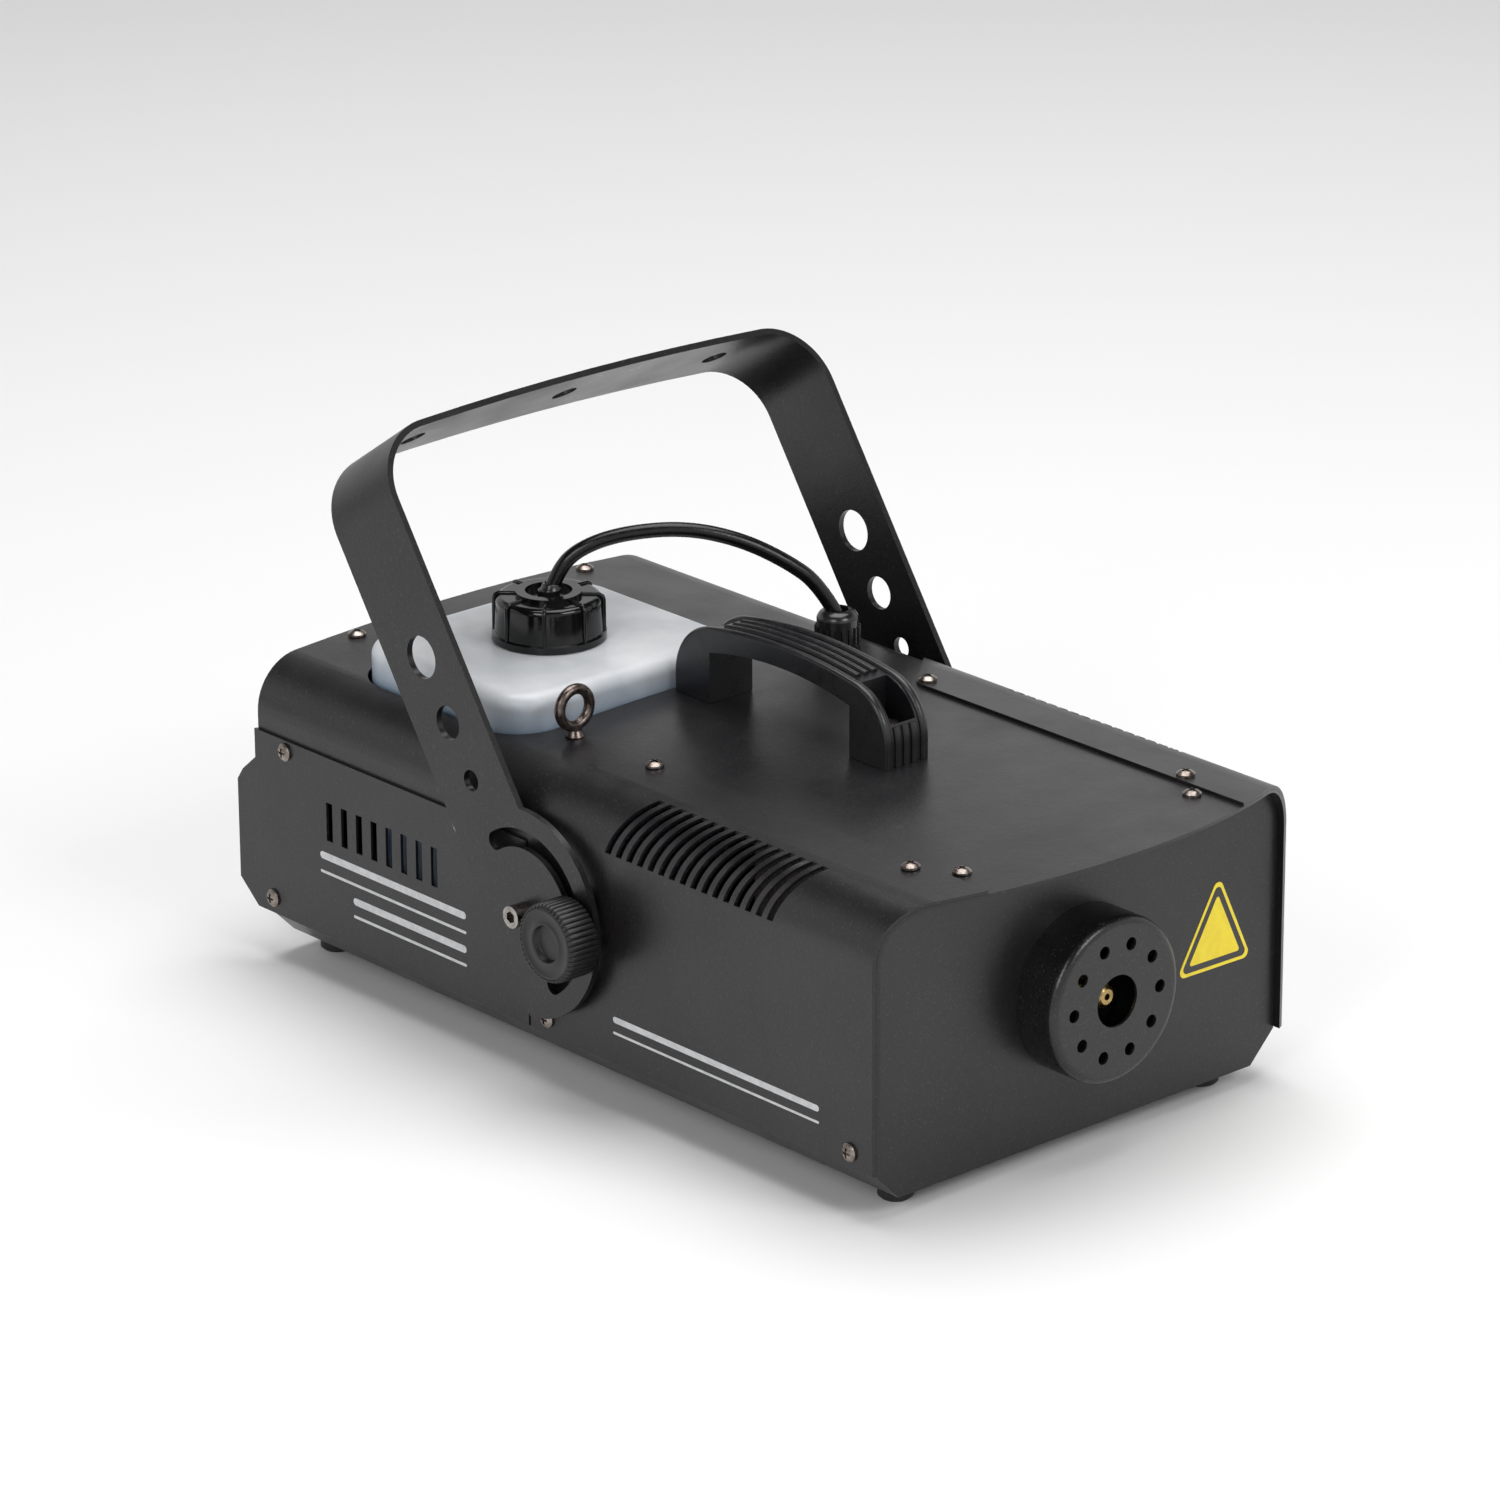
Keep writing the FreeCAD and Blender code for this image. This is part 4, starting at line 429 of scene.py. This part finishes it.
# ------------------------------------------------------------------ repeated ribs
class RibTree:
    """A geometry tree that sweeps a rounded rib along a path and repeats it."""

    INPUTS = (
        ("Rib width", "NodeSocketFloat"), ("Rib height", "NodeSocketFloat"),
        ("Count", "NodeSocketInt"), ("Step turn", "NodeSocketFloat"),
        ("Step move", "NodeSocketVector"), ("First place", "NodeSocketVector"),
        ("Whole turn", "NodeSocketVector"), ("Centre", "NodeSocketVector"),
        ("Finish", "NodeSocketMaterial"),
    )
    PROFILE_SIDES = 12

    def __init__(self, name):
        self.tree = bpy.data.node_groups.new(name, "GeometryNodeTree")
        face = self.tree.interface
        face.new_socket("Path", in_out="INPUT", socket_type="NodeSocketGeometry")
        self.keys = {label: face.new_socket(label, in_out="INPUT", socket_type=kind).identifier
                     for label, kind in self.INPUTS}
        face.new_socket("Ribs", in_out="OUTPUT", socket_type="NodeSocketGeometry")
        self.wire()

    def node(self, kind, **settings):
        made = self.tree.nodes.new(kind)
        for name, value in settings.items():
            setattr(made, name, value)
        return made

    def link(self, source, target):
        self.tree.links.new(source, target)

    def maths(self, operation, first, second):
        made = self.node("ShaderNodeMath", operation=operation)
        for socket, value in zip(made.inputs, (first, second)):
            if isinstance(value, (int, float)):
                socket.default_value = value
            else:
                self.link(value, socket)
        return made.outputs[0]

    def wire(self):
        given = self.node("NodeGroupInput").outputs
        path = self.node("GeometryNodeMeshToCurve")
        self.link(given["Path"], path.inputs["Mesh"])
        circle = tuned(self.node("GeometryNodeCurvePrimitiveCircle"),
                       Resolution=self.PROFILE_SIDES, Radius=0.5)
        size = self.node("ShaderNodeCombineXYZ")
        self.link(given["Rib width"], size.inputs["X"])
        self.link(self.maths("MULTIPLY", given["Rib height"], 2.0), size.inputs["Y"])
        size.inputs["Z"].default_value = 1
        profile = self.node("GeometryNodeTransform")
        self.link(circle.outputs["Curve"], profile.inputs["Geometry"])
        self.link(size.outputs["Vector"], profile.inputs["Scale"])
        rib = tuned(self.node("GeometryNodeCurveToMesh"), Fill_Caps=True)
        self.link(path.outputs["Curve"], rib.inputs["Curve"])
        self.link(profile.outputs["Geometry"], rib.inputs["Profile Curve"])

        points = self.node("GeometryNodePoints")
        self.link(given["Count"], points.inputs["Count"])
        index = self.node("GeometryNodeInputIndex").outputs["Index"]
        turn = self.node("ShaderNodeCombineXYZ")
        self.link(self.maths("MULTIPLY", index, given["Step turn"]), turn.inputs["Z"])
        move = self.node("ShaderNodeVectorMath", operation="SCALE")
        self.link(given["Step move"], move.inputs["Vector"])
        self.link(index, move.inputs["Scale"])
        place = self.node("ShaderNodeVectorMath", operation="ADD")
        self.link(move.outputs["Vector"], place.inputs[0])
        self.link(given["First place"], place.inputs[1])
        self.link(place.outputs["Vector"], points.inputs["Position"])

        copies = self.node("GeometryNodeInstanceOnPoints")
        self.link(points.outputs[0], copies.inputs["Points"])
        self.link(rib.outputs["Mesh"], copies.inputs["Instance"])
        self.link(turn.outputs["Vector"], copies.inputs["Rotation"])
        real = self.node("GeometryNodeRealizeInstances")
        self.link(copies.outputs["Instances"], real.inputs["Geometry"])
        whole = self.node("GeometryNodeTransform")
        self.link(real.outputs["Geometry"], whole.inputs["Geometry"])
        self.link(given["Whole turn"], whole.inputs["Rotation"])
        self.link(given["Centre"], whole.inputs["Translation"])
        smooth = self.node("GeometryNodeSetShadeSmooth")
        self.link(whole.outputs["Geometry"], smooth.inputs["Geometry"])
        painted = self.node("GeometryNodeSetMaterial")
        self.link(smooth.outputs["Geometry"], painted.inputs["Geometry"])
        self.link(given["Finish"], painted.inputs["Material"])
        self.link(painted.outputs["Geometry"], self.node("NodeGroupOutput").inputs["Ribs"])

    def ribs(self, name, path, body, slot_name, finish, width, height, count,
             first=(0, 0, 0), step_turn=0.0, step_move=(0, 0, 0), whole_turn=(0, 0, 0),
             centre=(0, 0, 0)):
        """Repeats one rib and leaves the row or ring as a plain mesh on a body."""
        carrier = shown(name, path_mesh(name + "_path", path))
        modifier = carrier.modifiers.new("ribs", "NODES")
        modifier.node_group = self.tree
        values = {"Rib width": width, "Rib height": height, "Count": count,
                  "Step turn": step_turn, "Step move": step_move, "First place": first,
                  "Whole turn": whole_turn, "Centre": centre, "Finish": finish}
        for label, value in values.items():
            modifier[self.keys[label]] = value
        dressed = carrier.evaluated_get(bpy.context.evaluated_depsgraph_get())
        mesh = bpy.data.meshes.new_from_object(dressed)
        mesh.name = name
        carrier.modifiers.clear()
        carrier.data = mesh
        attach(carrier, body)
        return carrier


# ------------------------------------------------------------------ handle ribs
HANDLE_SHOULDER, HANDLE_END_RADIUS = 9.5 * MM, 25.4 * MM
HANDLE_TURN_Y, HANDLE_TURN_Z, HANDLE_BOW = 21 * MM, 34.5 * MM, 282 * MM
HANDLE_FOOT, POCKET_LENGTH = 23 * MM, 19 * MM
HANDLE_END_STEPS, HANDLE_BOW_STEPS = 24, 20


def handle_outline():
    """The grip's upper outline in (y, height), from its front foot over to its rear one."""
    low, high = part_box("carry_handle")
    front, rear, base = low.y, high.y, low.z
    shoulder, turn = base + HANDLE_SHOULDER, base + HANDLE_TURN_Z
    points = [Vector((front, base)), Vector((front, shoulder))]
    points += arc_points((front, shoulder), (front + HANDLE_TURN_Y, turn),
                         HANDLE_END_RADIUS, HANDLE_END_STEPS)
    points += arc_points((front + HANDLE_TURN_Y, turn), (rear - HANDLE_TURN_Y, turn),
                         HANDLE_BOW, HANDLE_BOW_STEPS)
    points += arc_points((rear - HANDLE_TURN_Y, turn), (rear, shoulder),
                         HANDLE_END_RADIUS, HANDLE_END_STEPS)
    return points + [Vector((rear, base))]


def upright(points):
    """An outline in (y, height) stood up in the handle's middle plane."""
    return [(0, p.x, p.y) for p in points]


def make_handle_ribs(tree):
    """Two rails along the grip's edges, three ribs between them, three on each foot."""
    low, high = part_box("carry_handle")
    outline = handle_outline()
    finish = FINISHES["black_plastic"]
    rail_width, rib_width, rib_height = 4.3 * MM, 3.7 * MM, 1.6 * MM
    rail_place = (high.x - low.x) / 2 - rail_width / 2
    pitch = 4.9 * MM
    tree.ribs("handle_rails", upright(outline), "housing", "black_plastic", finish,
              rail_width, rib_height, 2, first=(-rail_place, 0, 0),
              step_move=(2 * rail_place, 0, 0))
    pocket = (HANDLE_FOOT + POCKET_LENGTH) / 2
    centre = [p for p in outline if low.y + pocket < p.x < high.y - pocket]
    tree.ribs("handle_ribs", upright(centre), "housing", "black_plastic", finish,
              rib_width, rib_height, 3, first=(-pitch, 0, 0), step_move=(pitch, 0, 0))
    wall = (HANDLE_FOOT - POCKET_LENGTH) / 2
    for name, foot in (("front", [p for p in outline if p.x < low.y + wall]),
                       ("rear", [p for p in outline if p.x > high.y - wall])):
        tree.ribs(f"handle_{name}_ribs", upright(foot), "housing", "black_plastic", finish,
                  rib_width, rib_height, 3, first=(-pitch, 0, 0),
                  step_move=(pitch, 0, 0))


# ------------------------------------------------------------------ tank cap and gland
CAP_CENTRE = Vector((-33 * MM, 116.5 * MM, 0))
CAP_RIBS, GLAND_FLUTES = 8, 18
COLLAR_FOLLOW = 0.6    # how much of the hose's lean the collar takes up


def make_cap_ribs(tree):
    """Finger ribs that run out over the cap's top and down its side."""
    low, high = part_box("tank_cap")
    top, side, ring = high.z - 0.002, 25.3 * MM, 15.5 * MM
    path = [(ring, 0, top), (side - 2.2 * MM, 0, top), (side - 0.6 * MM, 0, top - 0.7 * MM),
            (side, 0, top - 2.4 * MM), (side, 0, low.z + 3 * MM)]
    tree.ribs("cap_ribs", path, "cap", "gloss_plastic", FINISHES["gloss_plastic"],
              1.7 * MM, 1.1 * MM, CAP_RIBS, step_turn=2 * math.pi / CAP_RIBS,
              centre=CAP_CENTRE)


def make_hose_collar():
    """The short flanged sleeve that the hose passes through in the cap."""
    start, bend = Vector(HOSE_ROUTE[0]), Vector(HOSE_ROUTE[1])
    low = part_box("hose_barb")[1].z - 0.6 * MM
    bore = HOSE_DIAMETER / 2 - 0.2 * MM
    outline = [(bore, low), (5.0 * MM, low), (5.0 * MM, low + 1.2 * MM),
               (4.4 * MM, low + 1.6 * MM), (4.2 * MM, low + 3.4 * MM),
               (3.9 * MM, low + 3.9 * MM), (bore, low + 3.9 * MM), (bore, low)]
    lean = bend - start
    mesh = lathe("hose_collar", outline, Vector((start.x, start.y, 0)))
    for vertex in mesh.vertices:
        rise = max(vertex.co.z - start.z, 0)
        vertex.co.x += rise * lean.x / lean.z * COLLAR_FOLLOW
        vertex.co.y += rise * lean.y / lean.z * COLLAR_FOLLOW
    piece("hose_collar", mesh, "housing", "black_plastic", FINISHES["gland_plastic"])


def make_gland_flutes(tree):
    """Grip flutes round the gland's nut."""
    low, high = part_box("gland_nut")
    centre = Vector(((low.x + high.x) / 2, (low.y + high.y) / 2, 0))
    side = (high.x - low.x) / 2
    path = [(side - 0.1 * MM, 0, low.z + 0.6 * MM), (side - 0.1 * MM, 0, low.z + 9.5 * MM)]
    tree.ribs("gland_flutes", path, "housing", "black_plastic", FINISHES["gland_plastic"],
              2.2 * MM, 0.5 * MM, GLAND_FLUTES, step_turn=2 * math.pi / GLAND_FLUTES,
              centre=centre)


# ------------------------------------------------------------------ clamp knobs
# Outlines are (radius, height above the knob's inner face), in millimetres.
KNOB_TEETH, KNOB_STEPS = 44, 72
KNOB_TOOTH = ((17.7, 0.9), (17.7, 14.2), (17.1, 15.5), (16.3, 16.0))
KNOB_OUTLINE = (
    (2.6, 0), (16.6, 0), (17.8, 1.2), (17.8, 14.2), (17.3, 15.4), (16.4, 16.3), (15.6, 16.5),
    (14.9, 16.3), (14.3, 15.9), (10.0, 15.9), (9.5, 16.2), (8.9, 16.2), (8.5, 15.8),
    (8.1, 13.4), (7.6, 13.1), (3.0, 13.6), (0, 13.7), (0, 12.4), (2.6, 12.4), (2.6, 0),
)


def make_knobs(tree):
    """Dished clamp knobs with a serrated rim, one on each side."""
    for side, facing in (("left", -1), ("right", 1)):
        node = f"{side}_clamp_knob"
        low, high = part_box(node)
        inner = low.x if facing > 0 else high.x
        centre = Vector((inner, (low.y + high.y) / 2, (low.z + high.z) / 2))
        turn = (0, facing * math.pi / 2, 0)
        outline = [(r * MM, h * MM) for r, h in KNOB_OUTLINE]
        mesh = lathe(f"{side}_knob_grip", outline, centre, turn, KNOB_STEPS)
        grip = piece(f"{side}_knob_grip", mesh, f"{side}_knob", "black_plastic",
                     FINISHES["knob_plastic"])
        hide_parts(node)
        path = [(r * MM, 0, h * MM) for r, h in KNOB_TOOTH]
        tree.ribs(f"{side}_knob_teeth", path, f"{side}_knob", "black_plastic",
                  FINISHES["knob_plastic"], 1.5 * MM, 1.15 * MM, KNOB_TEETH,
                  step_turn=2 * math.pi / KNOB_TEETH, whole_turn=turn, centre=centre)


# ------------------------------------------------------------------ sticker and print
CORNER_STEPS, BAR_END_STEPS = 6, 8
STICKER_CORNERS = ((85.1, 105.1), (61.3, 64.6), (104.6, 63.9))    # (x, z), in millimetres
# Each film of the sticker: its size, corner radius, underside, top (mm) and material.
STICKER_FILMS = ((1.08, 3.0, 0.02, 0.12, 0), (0.96, 2.2, 0.06, 0.17, 1),
                 (0.74, 1.0, 0.10, 0.22, 0))
# Bars are (rear end, length towards the front, lower edge, height), in millimetres.
REAR_BARS = ((174, 106, 62.5, 3.6), (174, 106, 55.5, 1.4),
             (150, 82, 46.0, 3.6), (150, 82, 39.5, 1.4))
FRONT_BARS = ((-34, 136, 44.0, 3.0), (-34, 136, 38.5, 1.2))
INK_LIFT = (0.02 * MM, 0.08 * MM, 0)


def rounded_triangle(corners, radius):
    """A triangle's outline with each corner replaced by an arc, in (x, z)."""
    outline = []
    for i, corner in enumerate(corners):
        before = (corners[i - 1] - corner).normalized()
        after = (corners[(i + 1) % 3] - corner).normalized()
        half = before.angle(after) / 2
        centre = corner + (before + after).normalized() * (radius / math.sin(half))
        reach = radius / math.tan(half)
        first, last = corner + before * reach - centre, corner + after * reach - centre
        for step in range(CORNER_STEPS + 1):
            blend = first.lerp(last, step / CORNER_STEPS).normalized() * radius
            outline.append(centre + blend)
    return outline


def film_slab(name, outlines, lifts, place):
    """Flat films on a face, each between its own two heights off the face."""
    shape = bmesh.new()
    for outline, (under, over, slot_index) in zip(outlines, lifts):
        lower = [shape.verts.new(place(p, under)) for p in outline]
        upper = [shape.verts.new(place(p, over)) for p in outline]
        faces = [shape.faces.new(upper), shape.faces.new(list(reversed(lower)))]
        for i in range(len(lower)):
            j = (i + 1) % len(lower)
            faces.append(shape.faces.new((lower[i], lower[j], upper[j], upper[i])))
        for face in faces:
            face.material_index = slot_index
    bmesh.ops.recalc_face_normals(shape, faces=shape.faces)
    return filled(name, shape)


def make_sticker():
    """A plain yellow triangle with a dark border on the front panel."""
    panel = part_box("front_panel")[0].y
    corners = [Vector(corner) * MM for corner in STICKER_CORNERS]
    middle = sum(corners, Vector((0, 0))) / 3
    outlines = [rounded_triangle([middle + (c - middle) * size for c in corners], radius * MM)
                for size, radius, *_ in STICKER_FILMS]
    lifts = [(under * MM, over * MM, slot_index)
             for *_, under, over, slot_index in STICKER_FILMS]
    mesh = film_slab("front_sticker", outlines, lifts,
                     lambda p, out: (p.x, panel - out, p.y))
    piece("front_sticker", mesh, "housing", "gloss_plastic", STICKER_YELLOW, STICKER_BORDER)


def bar_outline(start, length, low, tall):
    """A bar with rounded ends along the side, in (y, height)."""
    radius = tall / 2
    points = []
    for centre, first in ((start - length + radius, 90), (start - radius, -90)):
        for step in range(BAR_END_STEPS + 1):
            angle = math.radians(first + step * 180 / BAR_END_STEPS)
            points.append(Vector((centre + radius * math.cos(angle),
                                  low + radius + radius * math.sin(angle))))
    return points


def make_side_print():
    """Two plain groups of light bars on the left side, where a maker prints its panels."""
    for name, bars, node in (("rear_print", REAR_BARS, "left_side_plate"),
                             ("front_print", FRONT_BARS, "left_front_cover")):
        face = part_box(node)[0].x
        outlines = [bar_outline(*(value * MM for value in bar)) for bar in bars]
        mesh = film_slab(name, outlines, [INK_LIFT] * len(bars),
                         lambda p, out: (face - out, p.x, p.y))
        piece(name, mesh, "housing", "powder_coat", PRINT_INK)


# ------------------------------------------------------------------ studio
# The air is bright low down, like white walls, and dims towards the ceiling.
AIR_BRIGHT_TO, AIR_DARK_FROM, AIR_BRIGHT, AIR_DARK = 0.43, 0.60, 0.82, 0.05
LIGHTS_AIM = (0, 0, 0.1)
# Each softbox: its name, place, width and height, and power.
SOFTBOXES = (
    ("top_softbox", (0.3, 0.2, 2.6), (2.2, 2.2), 62),
    ("front_softbox", (0.3, -2.4, 1.9), (1.4, 1.0), 26),
    ("left_softbox", (-2.2, -0.9, 1.6), (0.9, 1.2), 16),
)
FLOOR_SIZE = 9


def softbox(name, place, size, power):
    """A square-edged soft light that faces the middle of the object."""
    data = bpy.data.lights.new(name, "AREA")
    data.shape = "RECTANGLE"
    data.size, data.size_y = size
    data.energy = power
    light = shown(name, data)
    light.location = place
    light.rotation_mode = "QUATERNION"
    light.rotation_quaternion = (Vector(LIGHTS_AIM) - Vector(place)).to_track_quat("-Z", "Y")


def make_studio():
    """A pale paper floor, white air that dims overhead, and three softboxes."""
    shape = bmesh.new()
    bmesh.ops.create_grid(shape, x_segments=8, y_segments=8, size=FLOOR_SIZE)
    floor = shown("studio_floor", filled("studio_floor", shape))
    paper = Finish("floor_paper", (0.87, 0.87, 0.87), 0.7)
    paper.colour(paper.mixed(paper.noise(0.6, 2), (0.86, 0.86, 0.86), (0.88, 0.88, 0.88)))
    floor.data.materials.append(paper.material)

    world = bpy.data.worlds.new("studio_air")
    bpy.context.scene.world = world
    world.use_nodes = True
    tree = world.node_tree
    split = tree.nodes.new("ShaderNodeSeparateXYZ")
    tree.links.new(tree.nodes.new("ShaderNodeTexCoord").outputs["Generated"],
                   split.inputs["Vector"])
    fade = tuned(tree.nodes.new("ShaderNodeMapRange"), From_Min=AIR_BRIGHT_TO,
                 From_Max=AIR_DARK_FROM, To_Min=AIR_BRIGHT, To_Max=AIR_DARK)
    tree.links.new(split.outputs["Z"], fade.inputs["Value"])
    sky = tuned(tree.nodes["Background"], Color=(1, 1, 1, 1))
    tree.links.new(fade.outputs["Result"], sky.inputs["Strength"])

    for box in SOFTBOXES:
        softbox(*box)


def main():
    place_camera()
    make_hose()
    paint_cad_nodes()
    tree = RibTree("rounded_ribs")
    make_handle_ribs(tree)
    make_cap_ribs(tree)
    make_gland_flutes(tree)
    make_knobs(tree)
    make_hose_collar()
    make_sticker()
    make_side_print()
    make_studio()
    bpy.context.scene.view_settings.view_transform = "Standard"


main()
